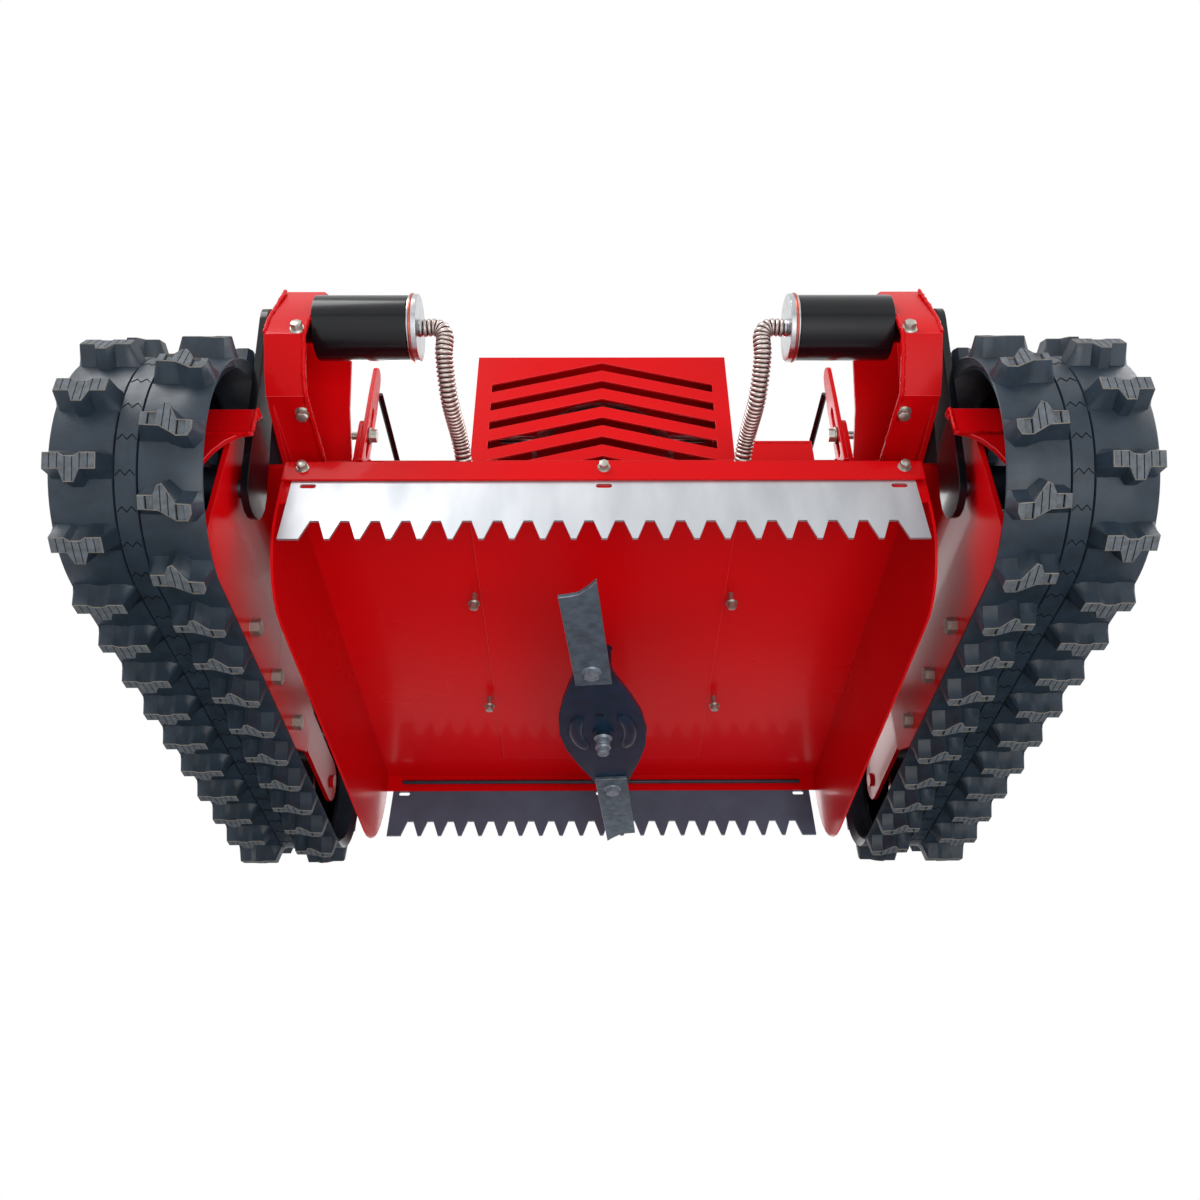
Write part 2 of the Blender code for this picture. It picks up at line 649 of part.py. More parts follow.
def make_side_plate(name, side):
    """Upright plate from the motor's nose to the rear beam, with the tower's two flanges."""
    shoulder = BEAM_FLOOR + BEAM_HEIGHT + 0.008
    front = [(SIDE_NOSE_Y + 0.044, SIDE_TOP), (SIDE_NOSE_Y + 0.032, SIDE_TOP - 0.010),
             (SIDE_NOSE_Y + 0.004, MOTOR_Z - 0.022), (SIDE_NOSE_Y, MOTOR_Z - 0.050)]
    back = [(SIDE_NOSE_Y + 0.205, shoulder), (SIDE_NOSE_Y + 0.150, SIDE_TOP - 0.080),
            (SIDE_NOSE_Y + 0.110, SIDE_TOP)]
    outline = (front + [(SIDE_NOSE_Y + 0.030, SIDE_FLOOR + 0.030),
                        (SIDE_NOSE_Y + 0.058, SIDE_FLOOR + 0.012),
                        (SIDE_NOSE_Y + 0.145, SIDE_FLOOR), (SIDE_REAR_Y, SIDE_FLOOR),
                        (SIDE_REAR_Y, shoulder)] + back)
    plate = prism([outline], *span(side, SIDE_PLATE_X, SIDE_PLATE_X + PLATE), "X")
    foot = DECK_TOP + DECK_RAISE + TOWER_FOOT_CLEAR + TOWER_SHEET
    beam_face = FRONT_BEAM_Y - BEAM_WIDTH / 2
    front += [(SIDE_NOSE_Y + 0.025, foot + 0.016), (SIDE_NOSE_Y + 0.043, foot),
              (beam_face - FACE_GAP, foot)]
    root = SIDE_PLATE_X + PLATE - INSET
    for path, reach in ((front, MOTOR_OUTER_X + INSET), (back, TOWER_BACK_X)):
        combine(plate, [prism([flange_outline(path)], *span(side, reach, root), "X")])
    return keep(plate, "side_plate_" + name, ENAMEL)


def make_bridge(name, side):
    """Channel ledge with its curved gusset, from the side plate out into the belt loop."""
    near = SIDE_PLATE_X + PLATE + GAP
    low, high = span(side, near, LEDGE_END_X)
    front = box((low, LEDGE_Y, LEDGE_TOP - LEDGE_HEIGHT), (high, LEDGE_Y + 0.005, LEDGE_TOP))
    top = box((low, LEDGE_Y + LAP, LEDGE_TOP - 0.005), (high, LEDGE_Y + LEDGE_DEPTH - 0.0036,
                                                          LEDGE_TOP))
    corner = (near, GUSSET_FLOOR)
    reach = GUSSET_END_X - near
    drop = LEDGE_TOP - LEDGE_HEIGHT + 0.002 - GUSSET_FLOOR
    edge = [(corner[0] + reach * sin(radians(a)), corner[1] + drop * cos(radians(a)))
            for a in range(0, 91, 15)]
    outline = [(side * x, z) for x, z in edge + [(GUSSET_END_X, LEDGE_TOP - LEDGE_HEIGHT + 0.002)]]
    gusset = prism([upright(outline)], LEDGE_Y + LAP, LEDGE_Y + 0.007, "Y")
    combine(front, [top, gusset])
    return keep(front, "bridge_" + name, ENAMEL)


def make_motor(name, side):
    """Travel motor: can and flange as one piece, end ring with its gland as another."""
    low, high = span(side, MOTOR_INNER_X, MOTOR_OUTER_X)
    can = rod(MOTOR_RADIUS, (low, MOTOR_Y, MOTOR_Z), high - low, "X", 32)
    low, high = span(side, MOTOR_OUTER_X - LAP, SIDE_PLATE_X - GAP)
    combine(can, [rod(MOTOR_NECK, (low, MOTOR_Y, MOTOR_Z), high - low, "X", 24)])
    keep(can, "motor_" + name, BLACK)
    ring_x = MOTOR_INNER_X - GAP
    low, high = span(side, ring_x - MOTOR_RING, ring_x)
    ring = rod(MOTOR_RING_RADIUS, (low, MOTOR_Y, MOTOR_Z), high - low, "X", 32)
    low, high = span(side, ring_x - MOTOR_RING - GLAND_LENGTH, ring_x - MOTOR_RING + LAP)
    combine(ring, [rod(GLAND_RADIUS, (low, MOTOR_Y, MOTOR_Z), high - low, "X", 16)])
    keep(ring, "motor_cap_" + name, STEEL)


def smooth_route(points, step):
    """Points at a steady spacing along a smooth curve through a route's own points."""
    route = [Vector(p) for p in points]
    ends = [route[0] * 2 - route[1]] + route + [route[-1] * 2 - route[-2]]
    fine = []
    for a, b, c, d in zip(ends, ends[1:], ends[2:], ends[3:]):
        for i in range(24):
            t = i / 24
            fine.append(((2 * b) + (c - a) * t + (2 * a - 5 * b + 4 * c - d) * t * t
                         + (3 * b - a - 3 * c + d) * t ** 3) / 2)
    fine.append(route[-1])
    lengths = [0.0]
    for a, b in zip(fine, fine[1:]):
        lengths.append(lengths[-1] + (b - a).length)
    count = max(2, round(lengths[-1] / step))
    spaced = []
    place = 0
    for i in range(count + 1):
        want = lengths[-1] * i / count
        while place < len(lengths) - 2 and lengths[place + 1] < want:
            place += 1
        part = (want - lengths[place]) / (lengths[place + 1] - lengths[place])
        spaced.append(fine[place].lerp(fine[place + 1], part))
    return spaced


def tube(points, radii, resolution=2):
    """A tube along points, with a radius at each, as a closed mesh."""
    curve = bpy.data.curves.new("tube", "CURVE")
    curve.dimensions = "3D"
    curve.bevel_depth = 1.0
    curve.bevel_resolution = resolution
    curve.use_fill_caps = True
    spline = curve.splines.new("POLY")
    spline.points.add(len(points) - 1)
    for place, point, radius in zip(spline.points, points, radii):
        place.co = (*point, 1)
        place.radius = radius
    guide = bpy.data.objects.new("tube", curve)
    bpy.context.scene.collection.objects.link(guide)
    view = bpy.context.evaluated_depsgraph_get()
    mesh = bpy.data.meshes.new_from_object(guide.evaluated_get(view))
    bpy.data.objects.remove(guide)
    return solid("tube", mesh)


def conduit_points(side):
    """From the motor's gland round and down to the front beam, straight at both ends."""
    x = MOTOR_INNER_X - GAP - MOTOR_RING - GLAND_LENGTH - GAP
    straight = 2 * CONDUIT_GROOVE
    end = Vector((CONDUIT_END_X, FRONT_BEAM_Y - BEAM_WIDTH / 2 - GAP, BEAM_FLOOR + BEAM_HEIGHT / 2))
    bend = x - straight
    route = [(bend, MOTOR_Y, MOTOR_Z), (bend - 0.008, MOTOR_Y + 0.003, MOTOR_Z - 0.010),
             (bend - 0.008, MOTOR_Y + 0.014, MOTOR_Z - 0.034),
             (CONDUIT_END_X + 0.010, MOTOR_Y + 0.048, MOTOR_Z - 0.064),
             (CONDUIT_END_X + 0.004, end.y - straight - 0.026, end.z + 0.014),
             (end.x, end.y - straight, end.z)]
    step = CONDUIT_RIB_PITCH / 2
    middle = smooth_route(route, step)
    count = round(straight / step)
    first = [Vector((x - straight * i / count, MOTOR_Y, MOTOR_Z)) for i in range(count)]
    last = [end - Vector((0, straight * i / count, 0)) for i in reversed(range(count))]
    return [Vector((side * p.x, p.y, p.z)) for p in first + middle + last]


def make_conduit(name, side):
    """Ribbed steel conduit with its bore."""
    points = conduit_points(side)
    ribs = len(points)
    collar = 2
    radii = [CONDUIT_RADIUS if i % 2 and collar < i < ribs - collar else CONDUIT_GROOVE
             for i in range(ribs)]
    hose = tube(points, radii, 2)
    mouth = [points[0] * 1.5 - points[1] * 0.5, *points[1:-1:3], points[-2],
             points[-1] * 1.5 - points[-2] * 0.5]
    cut(hose, [tube(mouth, [CONDUIT_BORE] * len(mouth), 1)])
    return keep(hose, "conduit_" + name, STEEL)


def make_beam(name, y):
    """Cross beam between the side plates."""
    reach = SIDE_PLATE_X - GAP
    half = BEAM_WIDTH / 2
    beam = box((-reach, y - half, BEAM_FLOOR), (reach, y + half, BEAM_FLOOR + BEAM_HEIGHT))
    return keep(beam, name, ENAMEL)


def make_hanger(name, side):
    """Slotted bracket on the front beam that guides the deck's bolt up and down."""
    rear = FRONT_BEAM_Y - BEAM_WIDTH / 2 - GAP
    front = HANGER_Y - EAR_WIDTH / 2
    top = (HANGER_Y - 0.001, HANGER_TOP - HANGER_TOP_RADIUS)
    outline = ([(rear, BEAM_FLOOR), (rear, HANGER_TOP - 0.060)]
               + arc(top, HANGER_TOP_RADIUS, 0, 180, 6)
               + [(front, HANGER_TOP - 0.060), (front, BEAM_FLOOR)])
    half_slot = HANGER_SLOT / 2
    low_end = (HANGER_Y, HANGER_BOLT_Z - DECK_LOWER)
    high_end = (HANGER_Y, HANGER_BOLT_Z + DECK_RAISE)
    slot = arc(low_end, half_slot, 180, 360, 6) + arc(high_end, half_slot, 0, 180, 6)
    low, high = span(side, HANGER_X - HANGER_PLATE / 2, HANGER_X + HANGER_PLATE / 2)
    return keep(prism([outline, slot], low, high, "X"), "hanger_" + name, ENAMEL)


def make_hanger_bolt(name, side):
    """Bolt through the hanger's slot, held by the deck's ear."""
    head = HANGER_X - HANGER_PLATE / 2 - GAP
    ear = HANGER_X + HANGER_PLATE / 2 + GAP
    low, high = span(side, head - LAP, ear + EAR_PLATE + 0.010)
    bolt = rod(HANGER_BOLT_RADIUS, (low, HANGER_Y, HANGER_BOLT_Z), high - low, "X", 16)
    low, high = span(side, head - 0.002, head)
    washer = rod(0.0105, (low, HANGER_Y, HANGER_BOLT_Z), high - low, "X", 20)
    low, high = span(side, head - 0.009, head - LAP)
    combine(bolt, [washer, hexagon(0.0085, (low, HANGER_Y, HANGER_BOLT_Z), high - low, "X")])
    return keep(bolt, "hanger_bolt_" + name, ZINC)


def make_stay(name, side):
    """Thin stay from the hanger's back edge down to the rear beam."""
    start = Vector((side * (HANGER_X - 0.002), FRONT_BEAM_Y - BEAM_WIDTH / 2 + STAY_OFFSET,
                    HANGER_TOP - 0.022))
    end = Vector((side * (HANGER_X - STAY_LEAN), REAR_BEAM_Y - BEAM_WIDTH / 2 + 0.004,
                  BEAM_FLOOR + BEAM_HEIGHT + STAY_RADIUS + GAP))
    stay = tube([start, end], [STAY_RADIUS] * 2, 2)
    return keep(stay, "stay_" + name, BLACK)


def make_lift():
    """Vertical lift actuator behind the rear beam, with its rod down to the deck."""
    y = REAR_BEAM_Y + BEAM_WIDTH / 2 + GAP + LIFT_RADIUS
    bore = LIFT_ROD + GAP
    top = LIFT_FLOOR + LIFT_LENGTH
    profile = [(bore, LIFT_FLOOR), (bore, LIFT_ROD_TOP + DECK_RAISE + 0.002),
               (0, LIFT_ROD_TOP + DECK_RAISE + 0.002)]
    outside = [(0, top), (LIFT_RADIUS * 0.7, top), (LIFT_RADIUS, top - 0.012),
               (LIFT_RADIUS, LIFT_FLOOR)]
    body = turned(outside + profile, (0, y, 0), "Z", 28)
    keep(body, "lift_actuator", BLACK)
    foot = DECK_TOP + GAP
    shaft = [(0, LIFT_ROD_TOP), (LIFT_ROD, LIFT_ROD_TOP), (LIFT_ROD, foot + LIFT_FOOT_HEIGHT),
             (LIFT_FOOT, foot + LIFT_FOOT_HEIGHT), (LIFT_FOOT, foot), (0, foot)]
    keep(turned(shaft, (0, y, 0), "Z", 20), "lift_rod", STEEL)


def make_tension_yoke(name, side):
    """Sliding fork with its screw, which carries the idler."""
    yoke_front = YOKE_FRONT
    half = WHEEL_WIDTH / 2 + FACE_GAP
    pieces = []
    for offset in (-half - YOKE_PLATE, half):
        low = side * BELT_MIDDLE + offset
        outline = [(yoke_front, IDLER_Z - YOKE_HEIGHT / 2), (IDLER_Y, IDLER_Z - YOKE_HEIGHT / 2)]
        outline += arc((IDLER_Y, IDLER_Z), YOKE_HEIGHT / 2, -60, 60, 4)
        outline += [(IDLER_Y, IDLER_Z + YOKE_HEIGHT / 2), (yoke_front, IDLER_Z + YOKE_HEIGHT / 2)]
        pieces.append(prism([outline], low, low + YOKE_PLATE, "X"))
    low = side * BELT_MIDDLE - half - LAP
    web = box((low, yoke_front - LAP, IDLER_Z - YOKE_HEIGHT / 2 + LAP),
              (low + 2 * half + 0.002, yoke_front + 0.009, IDLER_Z + YOKE_HEIGHT / 2 - LAP))
    axle = rod(AXLE_RADIUS, (side * BELT_MIDDLE - half - YOKE_PLATE - 0.004, IDLER_Y, IDLER_Z),
               2 * (half + YOKE_PLATE + 0.004), "X", 16)
    screw = rod(SCREW_RADIUS, (side * SCREW_X, BRACKET_Y - SCREW_TAIL, SCREW_Z),
                yoke_front - BRACKET_Y + SCREW_TAIL + LAP, "Y", 16)
    combine(web, pieces + [axle, screw])
    keep(web, "tension_yoke_" + name, ENAMEL)


def skirt_outline():
    """Deck skirt seen from the side, with its large rounded lower corners."""
    top = DECK_TOP - INSET
    front = DECK_FRONT + SHEET + GAP
    rear = DECK_REAR - SHEET - GAP
    front_centre = (front + SKIRT_FRONT_CORNER, SKIRT_FLOOR + SKIRT_FRONT_CORNER)
    rear_centre = (rear - SKIRT_REAR_CORNER, SKIRT_FLOOR + SKIRT_REAR_CORNER)
    return ([(front, top)] + arc(front_centre, SKIRT_FRONT_CORNER, 180, 270, 7)
            + arc(rear_centre, SKIRT_REAR_CORNER, 270, 360, 8) + [(rear, top)])


def make_deck_shell():
    """Top sheet, both skirts, front and rear walls, and the two ears for the hangers."""
    front = DECK_FRONT + SHEET + GAP
    rear = DECK_REAR - SHEET - GAP
    top = box((-DECK_HALF + INSET, front + INSET, DECK_TOP - SHEET),
              (DECK_HALF - INSET, rear - INSET, DECK_TOP))
    pieces = []
    for side in (-1, 1):
        pieces.append(prism([skirt_outline()], *span(side, DECK_HALF - SHEET, DECK_HALF), "X"))
    inner = DECK_HALF - LAP
    pieces.append(box((-inner, front, DECK_TOP - FRONT_WALL), (inner, front + SHEET,
                                                            DECK_TOP - LAP)))
    pieces.append(box((-inner, rear - SHEET, DECK_TOP - REAR_WALL), (inner, rear, DECK_TOP - LAP)))
    for side in (-1, 1):
        ear = HANGER_X + HANGER_PLATE / 2 + GAP
        low, high = span(side, ear, ear + EAR_PLATE)
        half = EAR_WIDTH / 2
        outline = ([(HANGER_Y - half, DECK_TOP - LAP)]
                   + [(HANGER_Y + half, DECK_TOP - LAP)]
                   + arc((HANGER_Y, EAR_TOP - half), half, 0, 180, 8))
        hole = arc((HANGER_Y, HANGER_BOLT_Z), HANGER_BOLT_RADIUS + GAP, 0, 337.5, 15)
        pieces.append(prism([outline, hole], low, high, "X"))
    combine(top, pieces)
    shaft_hole = rod(SPINDLE_RADIUS + FACE_GAP, (0, BLADE_Y, DECK_TOP - 0.02), 0.04, "Z", 24)
    cut(top, [shaft_hole])
    return keep(top, "deck_shell", ENAMEL)


def make_doubler():
    """Stiffening sheet under the middle of the deck."""
    front = DECK_FRONT + 2 * SHEET + 3 * GAP
    top = DECK_TOP - SHEET - GAP
    sheet = box((-DOUBLER_HALF, front, top - SHEET), (DOUBLER_HALF, DOUBLER_REAR, top))
    cut(sheet, [rod(SPINDLE_RADIUS + FACE_GAP, (0, BLADE_Y, top - 0.02), 0.04, "Z", 24)])
    return keep(sheet, "deck_doubler", ENAMEL)


def comb_outline():
    """Comb guard in (x, z): a plate whose lower edge is a row of trapezoid notches."""
    top = DECK_TOP - INSET
    notch_top = COMB_TIP + COMB_NOTCH_DEPTH
    points = [(-COMB_HALF + 0.004, top), (-COMB_HALF, COMB_TIP)]
    first = -COMB_NOTCH_PITCH * (COMB_NOTCHES - 1) / 2
    mouth = (COMB_NOTCH_PITCH - COMB_TIP_FLAT) / 2
    for notch in range(COMB_NOTCHES):
        middle = first + notch * COMB_NOTCH_PITCH
        points += [(middle - mouth, COMB_TIP), (middle - COMB_NOTCH_FLAT / 2, notch_top),
                   (middle + COMB_NOTCH_FLAT / 2, notch_top), (middle + mouth, COMB_TIP)]
    return points + [(COMB_HALF, COMB_TIP), (COMB_HALF - 0.004, top)]


def comb_slots():
    """Three adjusting slots just under the strip."""
    half = (COMB_SLOT - COMB_SLOT_HEIGHT) / 2
    radius = COMB_SLOT_HEIGHT / 2
    return [arc((x - half, COMB_SLOT_Z), radius, 90, 270, 6)
            + arc((x + half, COMB_SLOT_Z), radius, 270, 450, 6)
            for x in (-STRIP_BOLT_X + 0.009, 0, STRIP_BOLT_X - 0.009)]


def make_comb(name, y, material):
    comb = prism([upright(loop) for loop in [comb_outline()] + comb_slots()],
                 y, y + SHEET, "Y")
    return keep(comb, name, material)


def make_strip(name, y, outward):
    """Clamping strip over a comb, with the heads of its three bolts."""
    low, high = min(y, y + outward * SHEET), max(y, y + outward * SHEET)
    strip = box((-DECK_HALF + 0.002, low, DECK_TOP - STRIP_HEIGHT), (DECK_HALF - 0.002, high,
                                                                 DECK_TOP))
    heads = []
    for x in (-STRIP_BOLT_X, 0, STRIP_BOLT_X):
        face = y + outward * (SHEET - INSET)
        end = face + outward * (BOLT_HEAD_HEIGHT + INSET)
        heads.append(hexagon(BOLT_HEAD, (x, min(face, end), DECK_TOP - 0.009), abs(end - face), "Y"))
    combine(strip, heads)
    return keep(strip, name, ENAMEL)


CARRIER_Z = BLADE_Z + BLADE_THICKNESS + BLADE_SWING_PLAY


def on_carrier(across, along):
    """World (x, y) of a point given across and along the carrier."""
    return (across * cos(BLADE_TURN) + along * sin(BLADE_TURN),
            BLADE_Y - across * sin(BLADE_TURN) + along * cos(BLADE_TURN))


def make_carrier():
    """Oval blade carrier with the spindle shaft and its bolt underneath."""
    end = BLADE_PIVOT + CARRIER_END * 0.7
    waist = [(0, 1.0), (0.25, 0.93), (0.5, 0.74), (0.78, 0.46), (0.94, 0.36), (1.0, 0.20)]
    quarter = [(CARRIER_HALF * wide, end * long) for long, wide in waist]
    outline = (quarter + [(-a, b) for a, b in reversed(quarter)]
               + [(-a, -b) for a, b in quarter[1:]] + [(a, -b) for a, b in reversed(quarter[1:])])
    holes = []
    for way in (-1, 1):
        holes.append([on_carrier(u, v) for u, v in
                      arc((0, way * BLADE_PIVOT), BLADE_BOLT_RADIUS + GAP, 0, 337.5, 15)])
    holes.append([on_carrier(u, v) for u, v in arc((0, -0.045), 0.005, 0, 330, 11)])
    plate = prism([[on_carrier(u, v) for u, v in outline]] + holes,
                  CARRIER_Z, CARRIER_Z + CARRIER_THICKNESS)
    shaft = rod(SPINDLE_RADIUS, (0, BLADE_Y, CARRIER_Z + LAP), DECK_TOP - CARRIER_Z - LAP)
    boss = rod(SPINDLE_RADIUS * 2, (0, BLADE_Y, CARRIER_Z + 0.002), 0.022)
    washer = rod(0.014, (0, BLADE_Y, CARRIER_Z - 0.003), 0.004)
    head = hexagon(0.0095, (0, BLADE_Y, CARRIER_Z - 0.010), 0.008)
    combine(plate, [shaft, boss, washer, head])
    return move_origin(keep(plate, "blade_carrier", BLACK), (0, BLADE_Y, CARRIER_Z))


def make_blade(name, way):
    """Swing blade: drilled bar with a slanted and scooped tip, below the carrier."""
    half = BLADE_WIDTH / 2
    short = BLADE_REACH - BLADE_SLANT
    corners = ([(-half, BLADE_PIVOT - BLADE_TAIL), (half, BLADE_PIVOT - BLADE_TAIL)]
               + [(half - BLADE_WIDTH * across, short + 2 * BLADE_SLANT * out)
                  for across, out in BLADE_SCOOP])
    hole = arc((0, BLADE_PIVOT), BLADE_BOLT_RADIUS + GAP, 0, 337.5, 15)
    loops = [[on_carrier(way * u, way * v) for u, v in loop] for loop in (corners, hole)]
    blade = prism(loops, BLADE_Z, BLADE_Z + BLADE_THICKNESS)
    pivot = on_carrier(0, way * BLADE_PIVOT)
    return move_origin(keep(blade, name, DARK_STEEL), (*pivot, BLADE_Z))


def make_blade_bolt(name, way):
    """Shouldered bolt of one swing blade, with its nut above the carrier."""
    x, y = on_carrier(0, way * BLADE_PIVOT)
    under = BLADE_Z - GAP
    nut = CARRIER_Z + CARRIER_THICKNESS + GAP
    shank = rod(BLADE_BOLT_RADIUS, (x, y, under - LAP), nut + 0.010 - under, sides=16)
    head = hexagon(BLADE_BOLT_HEAD, (x, y, under - BLADE_BOLT_HEAD_HEIGHT), BLADE_BOLT_HEAD_HEIGHT)
    combine(shank, [head, hexagon(BLADE_BOLT_HEAD, (x, y, nut), 0.008)])
    return keep(shank, name, ZINC)


ENGINE_FLOOR = DECK_TOP + GAP


def make_engine():
    """Vertical-shaft engine: crankcase with cylinder, and the round blower housing on top."""
    base_top = ENGINE_FLOOR + ENGINE_BASE
    case = box((-ENGINE_HALF, ENGINE_FRONT, ENGINE_FLOOR), (ENGINE_HALF, ENGINE_REAR, base_top))
    body = rod(COWL_RADIUS * 0.9, (0, BLADE_Y, base_top - LAP), ENGINE_BODY, sides=28)
    cylinder = box((-CYLINDER_HALF, HOOD_FRONT + CYLINDER_CLEAR, base_top - 0.005),
                   (CYLINDER_HALF, BLADE_Y, base_top + CYLINDER_HEIGHT))
    combine(case, [body, cylinder])
    keep(case, "engine_block", CAST)
    floor = base_top - LAP + ENGINE_BODY + GAP
    profile = [(0, ENGINE_TOP), (COWL_RADIUS * 0.55, ENGINE_TOP), (COWL_RADIUS * 0.85,
                                                               ENGINE_TOP - 0.012),
               (COWL_RADIUS, ENGINE_TOP - 0.035), (COWL_RADIUS, floor), (0, floor)]
    keep(turned(profile, (0, BLADE_Y, 0), "Z", 32), "engine_cowl", CAST)


def make_hood():
    """Folded engine guard: slotted front, two sides and a top over the front half."""
    base = ENGINE_FLOOR
    front = [(-HOOD_HALF, base), (HOOD_HALF, base), (HOOD_HALF, HOOD_TOP), (-HOOD_HALF, HOOD_TOP)]
    loops = [upright(front)]
    for slot in range(HOOD_SLOTS):
        apex = HOOD_SLOT_TOP - slot * HOOD_SLOT_PITCH
        low = apex - HOOD_SLOT_RISE
        height = HOOD_SLOT_HEIGHT
        loops.append(upright([(-HOOD_SLOT_HALF, low), (0, apex), (HOOD_SLOT_HALF, low),
                              (HOOD_SLOT_HALF, low - height), (0, apex - height),
                              (-HOOD_SLOT_HALF, low - height)]))
    face = prism(loops, HOOD_FRONT, HOOD_FRONT + HOOD_SHEET, "Y")
    panels = []
    for side in (-1, 1):
        low, high = span(side, HOOD_HALF - HOOD_SHEET, HOOD_HALF)
        profile = [(HOOD_FRONT + INSET, base), (HOOD_REAR, base), (HOOD_REAR, HOOD_TOP - 0.120),
                   (HOOD_REAR - 0.110, HOOD_TOP - INSET), (HOOD_FRONT + INSET, HOOD_TOP - INSET)]
        panels.append(prism([profile], low, high, "X"))
    panels.append(box((-HOOD_HALF + INSET, HOOD_FRONT + INSET, HOOD_TOP - HOOD_SHEET),
                      (HOOD_HALF - INSET, HOOD_REAR - 0.111, HOOD_TOP)))
    combine(face, panels)
    return keep(face, "engine_guard", ENAMEL)


def make_tank():
    """Fuel tank behind the blower housing, its screw cap, and the pull-start grip."""
    floor = ENGINE_FLOOR + ENGINE_BASE + GAP
    rear = HOOD_REAR - 0.012
    tank = box((-TANK_HALF, ENGINE_REAR - 0.006, floor), (TANK_HALF, rear, TANK_TOP))
    keep(tank, "fuel_tank", PLASTIC)
    middle = (0.045, (ENGINE_REAR - 0.006 + rear) / 2)
    cap = rod(CAP_RADIUS * 0.6, (*middle, TANK_TOP + GAP), CAP_HEIGHT, sides=20)
    keep(cap, "fuel_cap", BLACK)
    move_origin(cap, (*middle, TANK_TOP + GAP))
    y = rear + GAP + GRIP_RADIUS
    grip = rod(GRIP_RADIUS, (GRIP_X - GRIP_HALF, y, GRIP_Z), 2 * GRIP_HALF, "X", 16)
    keep(grip, "starter_grip", BLACK)
    move_origin(grip, (GRIP_X, y, GRIP_Z))


def make_receiver():
    """Box of the radio receiver on the front beam, and its screwed-on cover."""
    floor = BEAM_FLOOR + BEAM_HEIGHT + GAP
    body = box((*RECEIVER_LOW, floor), (*RECEIVER_HIGH, RECEIVER_TOP))
    keep(body, "receiver_box", ENAMEL)
    lid_floor = RECEIVER_TOP + GAP
    lid = box((*RECEIVER_LOW, lid_floor), (*RECEIVER_HIGH, lid_floor + LID_THICKNESS))
    keep(lid, "receiver_lid", ENAMEL)


def make_console():
    """Battery and control console on the rear beam, with its stop button and key."""
    floor = BEAM_FLOOR + BEAM_HEIGHT + GAP
    body = box((*CONSOLE_LOW, floor), (*CONSOLE_HIGH, CONSOLE_TOP))
    keep(body, "battery_console", ENAMEL)
    rear = CONSOLE_HIGH[1]
    z = (floor + CONSOLE_TOP) / 2
    profile = [(0, 0.020), (ESTOP_RADIUS * 0.8, 0.020), (ESTOP_RADIUS, 0.015),
               (ESTOP_RADIUS, 0.009), (0.007, 0.008), (0.007, 0), (0, 0)]
    seat = 0.010
    hole = rod(0.007 + GAP, (ESTOP_X, rear - seat, z), seat + 0.01, "Y", 20)
    button = turned([(r, h - ESTOP_LIFT) for r, h in profile], (ESTOP_X, rear, z), "Y", 20)
    keep(button, "stop_button", BUTTON_RED)
    key_hole = rod(KEY_RADIUS * 0.6 + GAP, (KEY_X, rear - seat, z), seat + 0.01, "Y", 20)
    cut(body, [hole, key_hole])
    barrel = rod(KEY_RADIUS * 0.6, (KEY_X, rear - seat + 0.002, z), seat + 0.006, "Y", 20)
    bow = box((KEY_X - 0.0015, rear + 0.007, z - 0.009), (KEY_X + 0.0015, rear + 0.028, z + 0.009))
    combine(barrel, [bow])
    keep(barrel, "key_switch", STEEL)
    move_origin(barrel, (KEY_X, rear, z))


for name, side in SIDES:
    make_belt(name, side)
    make_sprocket(name, side)
    make_idler(name, side)
    for number, y in enumerate(ROLLER_PLACES, start=1):
        make_roller(name, side, number, y)
    make_track_frame(name, side)
    make_tension_yoke(name, side)
    make_chain_case(name, side)
    make_side_plate(name, side)
    make_bridge(name, side)
    make_motor(name, side)
    make_conduit(name, side)
    make_hanger(name, side)
    make_hanger_bolt(name, side)
    make_stay(name, side)
make_beam("front_beam", FRONT_BEAM_Y)
make_beam("rear_beam", REAR_BEAM_Y)
make_lift()
make_receiver()
make_console()
make_deck_shell()
make_doubler()
make_comb("comb_front", DECK_FRONT, STEEL)
make_comb("comb_rear", DECK_REAR - SHEET, DARK_STEEL)
make_strip("front_strip", DECK_FRONT - GAP, -1)
make_strip("rear_strip", DECK_REAR + GAP, 1)
make_carrier()
make_blade("blade_near", -1)
make_blade("blade_far", 1)
make_blade_bolt("blade_bolt_near", -1)
make_blade_bolt("blade_bolt_far", 1)
make_engine()
make_hood()
make_tank()
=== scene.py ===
# Remote-controlled tracked mower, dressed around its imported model. Metres, +Z up, ground at z = 0.
# The end with the travel motors and the slotted engine guard faces -Y, and left means -X.

import bpy
import bmesh
import json
import random
from math import sin, cos, pi, radians, atan2
from mathutils import Matrix, Vector
from mathutils.kdtree import KDTree

